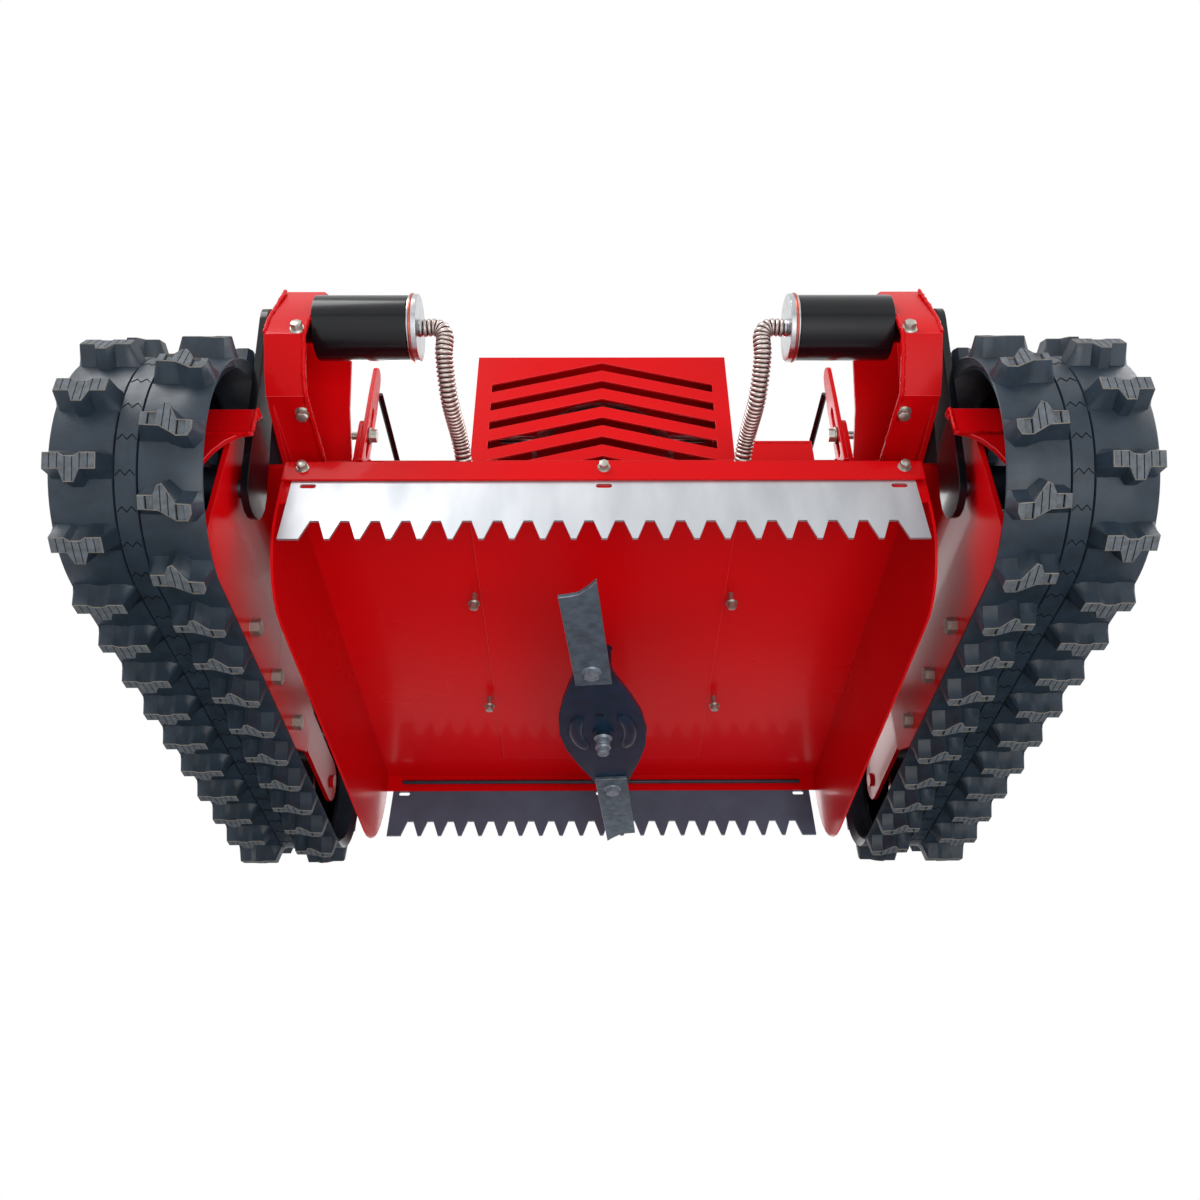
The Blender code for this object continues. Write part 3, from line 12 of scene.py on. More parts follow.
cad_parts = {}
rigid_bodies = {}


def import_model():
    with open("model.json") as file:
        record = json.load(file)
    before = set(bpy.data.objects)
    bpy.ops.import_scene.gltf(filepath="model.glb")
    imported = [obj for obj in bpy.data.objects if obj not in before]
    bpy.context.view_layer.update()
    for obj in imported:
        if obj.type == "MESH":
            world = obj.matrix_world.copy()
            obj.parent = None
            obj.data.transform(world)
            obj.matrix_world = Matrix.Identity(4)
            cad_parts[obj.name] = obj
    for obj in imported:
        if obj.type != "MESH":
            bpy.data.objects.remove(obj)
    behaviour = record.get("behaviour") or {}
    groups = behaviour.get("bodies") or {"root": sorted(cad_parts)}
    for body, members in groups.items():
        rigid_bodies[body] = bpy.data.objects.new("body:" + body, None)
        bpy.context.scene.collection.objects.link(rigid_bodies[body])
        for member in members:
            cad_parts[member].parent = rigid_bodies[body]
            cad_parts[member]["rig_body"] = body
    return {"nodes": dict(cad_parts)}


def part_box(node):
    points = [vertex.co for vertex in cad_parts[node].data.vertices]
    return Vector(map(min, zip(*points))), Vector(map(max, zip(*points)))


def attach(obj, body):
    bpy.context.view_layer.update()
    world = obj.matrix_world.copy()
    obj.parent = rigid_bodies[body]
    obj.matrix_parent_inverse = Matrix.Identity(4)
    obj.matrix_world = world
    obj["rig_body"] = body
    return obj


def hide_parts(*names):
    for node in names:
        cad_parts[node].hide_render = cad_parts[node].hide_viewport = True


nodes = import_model()["nodes"]
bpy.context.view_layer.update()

# The view: a wide lens set low in front of the machine and tipped up at its underside,
# as it hangs clear of the ground for its picture.
LENS = 33.0
CAMERA_PLACE = Vector((-0.01104, -1.21276, -0.65044))
CAMERA_PITCH, CAMERA_YAW, CAMERA_ROLL = radians(36.134), radians(0.366), radians(-0.343)

scene = bpy.context.scene
camera = bpy.data.objects.new("camera", bpy.data.cameras.new("camera"))
scene.collection.objects.link(camera)
camera.data.lens = LENS
camera.data.clip_start = 0.01
ahead = Vector((sin(CAMERA_YAW) * cos(CAMERA_PITCH), cos(CAMERA_YAW) * cos(CAMERA_PITCH),
                sin(CAMERA_PITCH)))
level = Vector((cos(CAMERA_YAW), -sin(CAMERA_YAW), 0))
above = level.cross(ahead)
right = level * cos(CAMERA_ROLL) + above * sin(CAMERA_ROLL)
above = above * cos(CAMERA_ROLL) - level * sin(CAMERA_ROLL)
turn = Matrix((right, above, -ahead)).transposed().to_4x4()
camera.matrix_world = Matrix.Translation(CAMERA_PLACE) @ turn
scene.camera = camera


def linear(code):
    """An sRGB hex colour as the linear values that a shader takes."""
    parts = [int(code[i:i + 2], 16) / 255 for i in (1, 3, 5)]
    parts = [c / 12.92 if c <= 0.04045 else ((c + 0.055) / 1.055) ** 2.4 for c in parts]
    return (*parts, 1.0)


def step(tree, kind, inputs=None, **settings):
    """Adds a node, with its settings and with each input set or linked."""
    node = tree.nodes.new(kind)
    for key, value in settings.items():
        setattr(node, key, value)
    for key, value in (inputs or {}).items():
        if isinstance(value, bpy.types.NodeSocket):
            tree.links.new(value, node.inputs[key])
        else:
            node.inputs[key].default_value = value
    return node


# The studio: a white surround, and a pale floor seen from above and in reflections only, so
# that the underside is lit and can be looked at. Four soft lamps, one of them low.
FLOOR_COLOUR = "#E9EAEC"
FLOOR_SIZE = 60
FLOOR_DROP = 0.0006           # just clear of the lugs that stand on it
SURROUND_LIGHT = 0.62
LAMP_TARGET = Vector((0, 0, 0.2))
LAMPS = (("key", (-1.6, -2.0, 2.3), 1.8, 62), ("fill", (2.3, -0.6, 1.7), 1.8, 34),
         ("low_front", (0.5, -2.2, -1.5), 1.5, 40), ("back", (-0.6, 2.4, 1.9), 1.8, 30))

bpy.ops.mesh.primitive_plane_add(size=FLOOR_SIZE, location=(0, 0, -FLOOR_DROP))
ground = bpy.context.object
ground.name = "studio_floor"
ground.visible_diffuse = False
ground.visible_transmission = False
ground.visible_shadow = False
paper = bpy.data.materials.new("studio paper")
paper.use_nodes = True
tree = paper.node_tree
tree.nodes.clear()
matt = step(tree, "ShaderNodeBsdfDiffuse", {"Color": linear(FLOOR_COLOUR)})
clear = step(tree, "ShaderNodeBsdfTransparent")
facing = step(tree, "ShaderNodeNewGeometry")
either = step(tree, "ShaderNodeMixShader", {0: facing.outputs["Backfacing"], 1: matt.outputs[0],
                                            2: clear.outputs[0]})
step(tree, "ShaderNodeOutputMaterial", {"Surface": either.outputs[0]})
ground.data.materials.append(paper)

surround = bpy.data.worlds.new("white surround")
scene.world = surround
surround.use_nodes = True
tree = surround.node_tree
tree.nodes.clear()
path = step(tree, "ShaderNodeLightPath")
seen = step(tree, "ShaderNodeMath", {0: path.outputs["Is Camera Ray"],
                                     1: path.outputs["Is Glossy Ray"]}, operation="MAXIMUM")
seen = step(tree, "ShaderNodeMath", {0: seen.outputs[0], 1: path.outputs["Is Transmission Ray"]},
            operation="MAXIMUM")
strength = step(tree, "ShaderNodeMapRange", {"Value": seen.outputs[0], "To Min": SURROUND_LIGHT,
                                             "To Max": 1.0})
sky = step(tree, "ShaderNodeBackground", {"Color": (1, 1, 1, 1),
                                          "Strength": strength.outputs["Result"]})
step(tree, "ShaderNodeOutputWorld", {"Surface": sky.outputs[0]})

for label, place, size, power in LAMPS:
    lamp = bpy.data.objects.new("lamp_" + label, bpy.data.lights.new("lamp_" + label, "AREA"))
    lamp.data.size = size
    lamp.data.energy = power
    lamp.location = place
    lamp.rotation_euler = (LAMP_TARGET - Vector(place)).to_track_quat("-Z", "Y").to_euler()
    lamp.visible_camera = False
    scene.collection.objects.link(lamp)

scene.view_settings.view_transform = "Standard"

# The welded chassis: side plates, bridges, track frames, cross beams and hangers, cut from
# mild steel plate, welded, and sprayed and baked in one thick glossy coat of red enamel.
ENAMEL_RED = "#D4060D"
ENAMEL_DEEP = "#B40309"
PEEL_SIZE = 0.0016            # orange peel, drawn twice as coarse as it is so that it shows


def start_material(name, code, roughness, metallic=0.0, **sockets):
    """A Principled material with its fixed values set, ready for its pattern."""
    made = bpy.data.materials.new(name)
    made.use_nodes = True
    shader = made.node_tree.nodes["Principled BSDF"]
    shader.inputs["Base Color"].default_value = linear(code)
    shader.inputs["Roughness"].default_value = roughness
    shader.inputs["Metallic"].default_value = metallic
    for key, value in sockets.items():
        shader.inputs[key.replace("_", " ")].default_value = value
    made.diffuse_color = linear(code)
    return made


def mottle(material, low, high, size, rough, bump=None, stretch=(1, 1, 1), detail=3.0):
    """Varies colour, roughness and surface with noise of a size given in metres."""
    tree = material.node_tree
    shader = tree.nodes["Principled BSDF"]
    place = step(tree, "ShaderNodeTexCoord")
    drawn = step(tree, "ShaderNodeMapping", {"Vector": place.outputs["Object"], "Scale": stretch})
    noise = step(tree, "ShaderNodeTexNoise", {"Vector": drawn.outputs[0], "Scale": 1 / size,
                                              "Detail": detail})
    blend = step(tree, "ShaderNodeMix", {0: noise.outputs["Fac"], 6: linear(low), 7: linear(high)},
                 data_type="RGBA")
    tree.links.new(blend.outputs[2], shader.inputs["Base Color"])
    spread = step(tree, "ShaderNodeMapRange", {"Value": noise.outputs["Fac"], "To Min": rough[0],
                                               "To Max": rough[1]})
    tree.links.new(spread.outputs["Result"], shader.inputs["Roughness"])
    if bump:
        grain = step(tree, "ShaderNodeTexNoise", {"Vector": drawn.outputs[0],
                                                  "Scale": 1 / bump[0], "Detail": 2.0})
        relief = step(tree, "ShaderNodeBump", {"Height": grain.outputs["Fac"],
                                               "Strength": bump[1], "Distance": bump[2]})
        tree.links.new(relief.outputs[0], shader.inputs["Normal"])


# Baked enamel: deep colour under a clear hard gloss, with faint orange peel in reflections
enamel = start_material("baked red enamel", ENAMEL_RED, 0.28, Coat_Weight=0.08,
                        Coat_Roughness=0.04, Specular_IOR_Level=0.07)
mottle(enamel, ENAMEL_RED, ENAMEL_DEEP, 0.30, (0.22, 0.36), (PEEL_SIZE, 0.10, 0.0002))
# The same enamel, lighter and pinker, put on eased and folded edges as a painted highlight
edge_highlight_enamel = start_material("enamel with painted edge highlight", "#E8434A", 0.3, Specular_IOR_Level=0.3)
mottle(edge_highlight_enamel, "#EE5A60", "#DC262E", 0.012, (0.26, 0.4), (PEEL_SIZE, 0.10, 0.0002))
# Black enamel over steel: the same coat with hardly any colour of its own
black_enamel = start_material("baked black enamel", "#050609", 0.2, Coat_Weight=0.1,
                              Coat_Roughness=0.05, Specular_IOR_Level=0.3)
mottle(black_enamel, "#050609", "#0B0D12", 0.05, (0.16, 0.26), (PEEL_SIZE, 0.12, 0.0002))
# Bright zinc on a rolled bolt: pale and slightly yellow, worn duller on its flats
zinc = start_material("bright zinc plate", "#B9B7AD", 0.32, 0.8)
mottle(zinc, "#C9C7BD", "#85837B", 0.004, (0.22, 0.42), (0.0006, 0.2, 0.0002))
# Machined steel under a film of oil: dark and a little blue
oiled_steel = start_material("oiled machined steel", "#5B6874", 0.36, 1.0)
mottle(oiled_steel, "#6E7C89", "#3D4751", 0.018, (0.28, 0.5), (0.0012, 0.3, 0.0002))


def body_holding(node):
    """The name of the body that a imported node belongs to."""
    return nodes[node]["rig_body"]


def take(piece):
    """Makes a piece the one that Blender's tools work on."""
    bpy.ops.object.select_all(action="DESELECT")
    bpy.context.view_layer.objects.active = piece
    piece.select_set(True)


def smooth(angle):
    """Shades the piece in hand smooth, but for edges that turn by more than an angle."""
    bpy.ops.object.shade_smooth_by_angle(angle=radians(angle))


def flatten_shading(piece):
    """Keeps the large faces beside an eased edge flat to the eye."""
    level = piece.modifiers.new("level faces", "WEIGHTED_NORMAL")
    level.keep_sharp = True
    bpy.ops.object.modifier_apply(modifier=level.name)


def round_edges(piece, width, segments=2, angle=30, material=-1):
    """Rounds the edges of a piece where its surface turns by more than an angle."""
    edge = piece.modifiers.new("rounded edges", "BEVEL")
    edge.width = width
    edge.segments = segments
    edge.limit_method = "ANGLE"
    edge.angle_limit = radians(angle)
    edge.material = material
    bpy.ops.object.modifier_apply(modifier=edge.name)


def dress(node, material, ease=0.0008, angle=35, rim=None):
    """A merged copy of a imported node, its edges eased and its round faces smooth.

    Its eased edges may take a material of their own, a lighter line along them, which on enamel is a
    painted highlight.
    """
    piece = bpy.data.objects.new(node + "_finished", nodes[node].data.copy())
    scene.collection.objects.link(piece)
    form = bmesh.new()
    form.from_mesh(piece.data)
    bmesh.ops.remove_doubles(form, verts=form.verts, dist=0.000002)
    bmesh.ops.dissolve_limit(form, angle_limit=radians(0.6), verts=form.verts, edges=form.edges)
    form.to_mesh(piece.data)
    form.free()
    piece.data.materials.clear()
    piece.data.materials.append(material)
    if rim:
        piece.data.materials.append(rim)
    take(piece)
    round_edges(piece, ease, angle=angle, material=1 if rim else -1)
    smooth(angle)
    flatten_shading(piece)
    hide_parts(node)
    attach(piece, body_holding(node))
    return piece


SIDES = (("left", -1), ("right", 1))
for name, side in SIDES:
    # The plates' eased edges take the lighter red as a painted highlight
    for kind in ("side_plate", "bridge", "hanger", "tension_yoke"):
        dress(f"{kind}_{name}", enamel, rim=edge_highlight_enamel)
for node in ("front_beam", "rear_beam", "receiver_box", "receiver_lid"):
    dress(node, enamel, 0.0016)

# Track frames: plate, rail and outer plate in enamel, with the zinc cap nuts of the roller
# axles left bright where they stand out of the plate's inner face.
CAP_NUT_END, FRAME_FACE = 0.385, 0.3999
CAP_NUT_ZONE = 0.0125
ROLLER_AXLES = ((-0.185, 0.0623), (-0.080, 0.0623), (0.030, 0.0623))
for name, side in SIDES:
    frame_piece = dress("track_frame_" + name, enamel)
    frame_piece.data.materials.append(zinc)
    for face in frame_piece.data.polygons:
        x, y, z = face.center
        near = min((y - a) ** 2 + (z - b) ** 2 for a, b in ROLLER_AXLES) < CAP_NUT_ZONE ** 2
        if near and CAP_NUT_END < abs(x) < FRAME_FACE:
            face.material_index = 1

# Wheels inside each belt: toothed drive sprocket in oiled steel, and a plain idler and
# three grooved rollers turned from bar and painted black.
for name, side in SIDES:
    dress("sprocket_" + name, oiled_steel, 0.0006)
    dress("idler_" + name, black_enamel, 0.0006, 28)
    for number in (1, 2, 3):
        dress(f"roller_{name}_{number}", black_enamel, 0.0005, 30)

# Rubber belts: a smooth carcass with two rows of moulded lugs, half a pitch apart, either
# side of a plain centre band that carries a moulded zigzag. Closed loops, cured in a mould.
SPROCKET_Y, SPROCKET_Z, SPROCKET_WRAP = -0.307, 0.1635, 0.1415
IDLER_Y, IDLER_Z, IDLER_WRAP = 0.316, 0.122, 0.100
GROUND_RUN = IDLER_Y - SPROCKET_Y
TOP_SLOPE = 2 * atan2(SPROCKET_WRAP - IDLER_WRAP, GROUND_RUN)
IDLER_ARC = IDLER_WRAP * (pi - TOP_SLOPE)
SPROCKET_ARC = SPROCKET_WRAP * (pi + TOP_SLOPE)
BELT_LENGTH = 2 * GROUND_RUN + IDLER_ARC + SPROCKET_ARC
BELT_EDGES = (0.391, 0.542)
BELT_THICKNESS = 0.0138
BELT_MIDDLE = sum(BELT_EDGES) / 2
BAND_HALF = 0.0115
LUG_COUNT = 28
LUG_PITCH = BELT_LENGTH / LUG_COUNT
LUG_HEIGHT = 0.022
LUG_RIM = 0.005               # slope of a lug's end at the belt's edge
LUG_SHOULDER = 0.008          # and at the centre band
TIP_WIDTH = (BELT_EDGES[1] - BELT_EDGES[0]) / 2 - BAND_HALF - LUG_RIM - LUG_SHOULDER
SIPES = (0.14, 0.29, 0.43, 0.57, 0.71, 0.86)
SIPE_WIDTH = 0.0011
SIPE_DEPTH = 0.0025
# Tip of a lug in plan: share of its width from the centre band, then millimetres along the belt
TIP_FORWARD = {
    "inner": ((0, 6), (0.29, 6), (0.37, 14), (0.47, 16), (0.56, 10), (0.70, -1), (1, -2)),
    "outer": ((0, 6), (0.30, 6), (0.41, 3), (0.60, 3), (0.70, 6), (1, 6))}
TIP_BACK = {
    "inner": ((0, -6), (0.37, -7), (0.60, -13), (0.71, -16), (0.93, -16), (1, -10)),
    "outer": ((0, -8), (0.30, -8), (0.40, -19), (0.60, -19), (0.70, -8), (1, -8))}
SAME_COLUMN = 0.012           # shares nearer than this to each other take one column
# A lug's walls: millimetres out from the edge of its tip, then height, from foot to foot
BACK_WALL = ((7.0, -2.0), (2.5, 11.0), (0.0, 21.8))
FORWARD_WALL = ((0.0, 21.8), (1.2, 15.0), (3.6, 7.0), (8.5, -2.0))
FOOT_EVENNESS = 0.4           # how far a lug's foot evens out the outline of its tip
CORNER = 0.0007               # rubbed off round each tip
ROWS = (("inner", -1, 0.5), ("outer", 1, 0.0))
# The band's zigzag: half its length across the belt, its rise, half its stroke, its top, depth
MARK_HALF, MARK_RISE, MARK_STROKE, MARK_TOP, MARK_DEPTH = 0.0095, 0.0027, 0.00055, 0.00035, 0.0012
# The carcass: its rounded edge, its flat under the lugs, and the groove each side of the band
EDGE_ROUND, EDGE_DROP, FLAT_OUT = 0.0015, 0.0012, 0.045
GROOVE_TOP, GROOVE_FOOT, GROOVE_DEPTH = 0.0012, 0.0006, 0.0016
BELT_STEPS = 7                # along the belt, to each pitch of the lugs


def loop_point(along, out):
    """(y, z) at a distance along the belt, and at a height out of its outer face."""
    along %= BELT_LENGTH
    if along < GROUND_RUN:
        return (SPROCKET_Y + along, LUG_HEIGHT - out)
    along -= GROUND_RUN
    reach = IDLER_WRAP + out
    if along < IDLER_ARC:
        angle = -pi / 2 + along / IDLER_WRAP
        return (IDLER_Y + reach * cos(angle), IDLER_Z + reach * sin(angle))
    along -= IDLER_ARC
    if along < GROUND_RUN:
        return (IDLER_Y + reach * sin(TOP_SLOPE) - along * cos(TOP_SLOPE),
                IDLER_Z + reach * cos(TOP_SLOPE) + along * sin(TOP_SLOPE))
    angle = pi / 2 - TOP_SLOPE + (along - GROUND_RUN) / SPROCKET_WRAP
    reach = SPROCKET_WRAP + out
    return (SPROCKET_Y + reach * cos(angle), SPROCKET_Z + reach * sin(angle))


def between(table, share):
    """Reads a value from a short table of points."""
    for (a, u), (b, v) in zip(table, table[1:]):
        if share <= b:
            return u + (v - u) * (share - a) / (b - a)
    return table[-1][1]


# Moulded natural rubber: blue-black with a soft satin sheen, duller and dusty in its hollows
rubber = start_material("moulded track rubber", "#212D38", 0.42, Specular_IOR_Level=0.4)
mottle(rubber, "#2B3A48", "#131A21", 0.018, (0.30, 0.56), (0.0022, 0.35, 0.0004))
# The same rubber scuffed by the ground: paler, greyer, and rough across the grain
scuffed = start_material("scuffed lug rubber", "#535A60", 0.8)
mottle(scuffed, "#66707A", "#3B3936", 0.006, (0.7, 0.9), (0.0014, 0.7, 0.0006))
# Its rounded corners: brownish, a thin pale line round every tip, coloured as a painted highlight
rubber_edge_highlight = start_material("rubber with painted edge highlight", "#6C6862", 0.85)
mottle(rubber_edge_highlight, "#8A857D", "#45423E", 0.007, (0.8, 0.95), (0.0014, 0.5, 0.0003))
# Moulded grooves and sipes, coloured near black as painted shade, since they hold no light
groove = start_material("painted shade in rubber grooves", "#07090B", 0.9, Specular_IOR_Level=0.1)
mottle(groove, "#0A0C0F", "#040506", 0.004, (0.85, 0.95))


def model_lug(row):
    """One lug, flat: x across from the centre band, y along the belt, z out of the belt."""
    half = SIPE_WIDTH / TIP_WIDTH / 2
    across = {-1.0, 0.0, 1.0, 2.0}
    across |= {share + way * half for share in SIPES for way in (-1, 1)}
    for share, reach in TIP_FORWARD[row] + TIP_BACK[row]:
        if min(abs(share - other) for other in across) > SAME_COLUMN:
            across.add(share)
    across = sorted(across)
    walls = len(BACK_WALL) + len(FORWARD_WALL)
    bpy.ops.mesh.primitive_grid_add(x_subdivisions=len(across) - 1, y_subdivisions=walls - 1,
                                    size=2)
    lug = bpy.context.object
    for material in (rubber, scuffed, rubber_edge_highlight, groove):
        lug.data.materials.append(material)
    spots = []
    for v in lug.data.vertices:
        column = round((v.co.x + 1) / 2 * (len(across) - 1))
        line = round((v.co.y + 1) / 2 * (walls - 1))
        spots.append((column, line))
        share = min(max(across[column], 0.0), 1.0)
        at_end = column in (0, len(across) - 1)
        table, way = (TIP_BACK[row], -1) if line < len(BACK_WALL) else (TIP_FORWARD[row], 1)
        wall = (BACK_WALL + FORWARD_WALL)[line]
        level = sum(reach for _, reach in table) / len(table)
        spread = wall[0] / FORWARD_WALL[-1][0] * FOOT_EVENNESS
        y = between(table, share) * (1 - spread) + level * spread + way * wall[0]
        x = share * TIP_WIDTH
        if at_end:
            x = -LUG_SHOULDER if column == 0 else TIP_WIDTH + LUG_RIM - 0.0003
        v.co = (x, y / 1000, -0.002 if at_end else wall[1] / 1000)
    first, last = len(BACK_WALL) - 1, len(BACK_WALL)
    for face in lug.data.polygons:
        columns = [spots[i][0] for i in face.vertices]
        lines = {spots[i][1] for i in face.vertices}
        if lines == {first, last} and min(columns) > 0 and max(columns) < len(across) - 1:
            middle = (across[min(columns)] + across[max(columns)]) / 2
            # Sipe faces take the near-black painted shade, the rest of the tip the scuffed rubber.
            cut = any(abs(middle - share) < half * 0.5 for share in SIPES)
            face.material_index = 3 if cut else 1
    weights = lug.data.attributes.new("bevel_weight_edge", "FLOAT", "EDGE")
    for edge in lug.data.edges:
        (a, p), (b, q) = (spots[i] for i in edge.vertices)
        inside = all(0 < c < len(across) - 1 for c in (a, b))
        along_tip = p == q and p in (first, last)
        across_end = a == b and a in (1, len(across) - 2) and {p, q} == {first, last}
        weights.data[edge.index].value = 1.0 if inside and (along_tip or across_end) else 0.0
    bpy.ops.object.mode_set(mode="EDIT")
    bpy.ops.mesh.select_all(action="SELECT")
    bpy.ops.mesh.fill_holes(sides=0)
    bpy.ops.mesh.select_all(action="SELECT")
    bpy.ops.mesh.normals_make_consistent(inside=False)
    bpy.ops.object.mode_set(mode="OBJECT")
    # The rounded tip corners take the pale material as a painted highlight.
    edge = lug.modifiers.new("tip corners with painted highlight", "BEVEL")
    edge.width = CORNER
    edge.limit_method = "WEIGHT"
    edge.material = 2
    bpy.ops.object.modifier_apply(modifier=edge.name)
    bpy.ops.object.mode_set(mode="EDIT")
    bpy.ops.mesh.select_all(action="DESELECT")
    bpy.ops.object.mode_set(mode="OBJECT")
    for face in lug.data.polygons:
        face.select = face.material_index == 3
    bpy.ops.object.mode_set(mode="EDIT")
    bpy.ops.mesh.select_mode(type="FACE")
    bpy.ops.mesh.extrude_region_move(TRANSFORM_OT_translate={"value": (0, 0, -SIPE_DEPTH)})
    bpy.ops.object.mode_set(mode="OBJECT")
    smooth(32)
    return lug


def thicken(piece, depth):
    """Gives a sheet its thickness, on the inside of its face."""
    wall = piece.modifiers.new("wall", "SOLIDIFY")
    wall.thickness = depth
    bpy.ops.object.modifier_apply(modifier=wall.name)


def join_all(parts, name):
    """Joins the copies of a repeated shape into one piece."""
    bpy.ops.object.select_all(action="DESELECT")
    for part in parts:
        part.select_set(True)
    bpy.context.view_layer.objects.active = parts[0]
    bpy.ops.object.join()
    parts[0].name = name
    return parts[0]


def close_seams(gap):
    """Merges the doubled points of the piece in hand and turns its faces outwards."""
    bpy.ops.object.mode_set(mode="EDIT")
    bpy.ops.mesh.select_all(action="SELECT")
    bpy.ops.mesh.remove_doubles(threshold=gap)
    bpy.ops.mesh.normals_make_consistent(inside=False)
    bpy.ops.object.mode_set(mode="OBJECT")


def rubber_copy(pattern, side, row_sign, middle):
    """A copy of a flat lug or mark, bent onto one belt's loop at its place."""
    copy = bpy.data.objects.new("lug", pattern.data.copy())
    scene.collection.objects.link(copy)
    for v in copy.data.vertices:
        y, z = loop_point(middle - v.co.y, v.co.z)
        v.co = (side * (BELT_MIDDLE + row_sign * v.co.x), y, z)
    if side * row_sign > 0:
        copy.data.flip_normals()
    return copy


patterns = {row: model_lug(row) for row, sign, phase in ROWS}
for pattern in patterns.values():
    pattern.data.transform(Matrix.Translation((BAND_HALF + LUG_SHOULDER, 0, 0)))
# One moulded zigzag of the centre band, flat: four thin strokes across the band, coloured near black
# as painted shade
bpy.ops.mesh.primitive_grid_add(x_subdivisions=4, y_subdivisions=1, size=2)
mark = bpy.context.object
for v in mark.data.vertices:
    stroke = round((v.co.x + 1) * 2)
    rise = MARK_RISE if stroke % 2 else -MARK_RISE
    v.co = (v.co.x * MARK_HALF, rise + v.co.y * MARK_STROKE, MARK_TOP)
thicken(mark, MARK_DEPTH)
mark.data.materials.append(groove)
# Carcass columns across the belt: how far each is from the belt's middle, and how deep it lies
BELT_HALF = BELT_MIDDLE - BELT_EDGES[0]
COLUMNS = [(-BELT_HALF, -EDGE_DROP), (-BELT_HALF + EDGE_ROUND, 0), (-FLAT_OUT, 0),
           (-BAND_HALF - GROOVE_TOP, 0), (-BAND_HALF - GROOVE_FOOT, -GROOVE_DEPTH),
           (-BAND_HALF + GROOVE_FOOT, -GROOVE_DEPTH), (-BAND_HALF + GROOVE_TOP, 0)]
COLUMNS += [(0.0, 0)] + [(-x, depth) for x, depth in reversed(COLUMNS)]
for name, side in SIDES:
    bpy.ops.mesh.primitive_grid_add(x_subdivisions=len(COLUMNS) - 1,
                                    y_subdivisions=LUG_COUNT * BELT_STEPS, size=2)
    carcass = bpy.context.object
    places = [(round((v.co.x + 1) / 2 * (len(COLUMNS) - 1)), (v.co.y + 1) / 2)
              for v in carcass.data.vertices]
    for v, (column, along) in zip(carcass.data.vertices, places):
        out, depth = COLUMNS[column]
        y, z = loop_point(along * BELT_LENGTH, depth)
        v.co = (side * (BELT_MIDDLE + out), y, z)
    for face in carcass.data.polygons:
        # Faces down in the grooves beside the band take the near-black painted shade.
        deep = all(COLUMNS[places[i][0]][1] == -GROOVE_DEPTH for i in face.vertices)
        face.material_index = 1 if deep else 0
    close_seams(0.00005)
    carcass.data.materials.append(rubber)
    carcass.data.materials.append(groove)
    thicken(carcass, BELT_THICKNESS)
    smooth(40)
    copies = [carcass]
    for row, sign, phase in ROWS:
        for lug in range(LUG_COUNT):
            copies.append(rubber_copy(patterns[row], side, sign, (lug + phase) * LUG_PITCH))
    for number in range(LUG_COUNT * 2):
        copies.append(rubber_copy(mark, side, 1, (number + 0.25) * LUG_PITCH / 2))
    belt = join_all(copies, "belt_" + name + "_moulded")
    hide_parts("belt_" + name)
    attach(belt, body_holding("belt_" + name))
for pattern in [*patterns.values(), mark]:
    bpy.data.objects.remove(pattern)

# Weld beads: wavy runs of weld metal along the chassis joints, laid by hand, then painted
# over with the plates. Each is a thin bead whose width and height wander along its length.
BEAD_STEP = 0.0032
BEAD_WANDER = 0.22            # share of its radius that a bead strays by
# Runs on the right side: the radius of the bead, then the points that it passes
WELD_RUNS = {
    "bridge": (0.0022, (0.3746, -0.3735, 0.186), (0.3746, -0.3735, 0.219),
               (0.3746, -0.360, 0.2195)),
    "ledge": (0.0022, (0.3746, -0.3722, 0.1835), (0.425, -0.3722, 0.1838)),
    "front_beam": (0.0022, (0.3672, -0.2275, 0.254), (0.3672, -0.2275, 0.2822),
                   (0.3672, -0.1965, 0.2822)),
    "rear_beam": (0.0022, (0.3672, 0.2845, 0.254), (0.3672, 0.2845, 0.2822),
                  (0.3672, 0.3155, 0.2822)),
    "shelf": (0.0022, (0.3755, -0.250, 0.2423), (0.3755, -0.075, 0.2423)),
    "hanger": (0.0022, (0.2845, -0.2275, 0.256), (0.2845, -0.2275, 0.281)),
    "tower": (0.0026, (0.3300, -0.4012, 0.340), (0.3300, -0.4090, 0.302),
              (0.3300, -0.3830, 0.2672), (0.3300, -0.3640, 0.2502), (0.3300, -0.2600, 0.2502)),
    "plate": (0.0020, (0.3737, -0.3800, 0.410), (0.3737, -0.4050, 0.330),
              (0.3737, -0.4085, 0.302)),
}


def settle(piece, material, body, replaced=None):
    """Gives a modelled piece its material and body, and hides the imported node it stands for."""
    piece.data.materials.append(material)
    if replaced:
        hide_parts(replaced)
    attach(piece, body)


def sweep(name, places, swells, depth=1.0, rings=5, gap=0.00002):
    """A closed round bar through a run of places, with its own swelling at each of them."""
    curve = bpy.data.curves.new(name, "CURVE")
    curve.dimensions = "3D"
    curve.bevel_depth = depth
    curve.bevel_resolution = rings
    curve.use_fill_caps = True
    spline = curve.splines.new("POLY")
    spline.points.add(len(places) - 1)
    for spot, place, swell in zip(spline.points, places, swells):
        spot.co = (*place, 1)
        spot.radius = swell
    bar = bpy.data.objects.new(name, curve)
    scene.collection.objects.link(bar)
    take(bar)
    bpy.ops.object.convert(target="MESH")
    close_seams(gap)
    return bpy.context.object


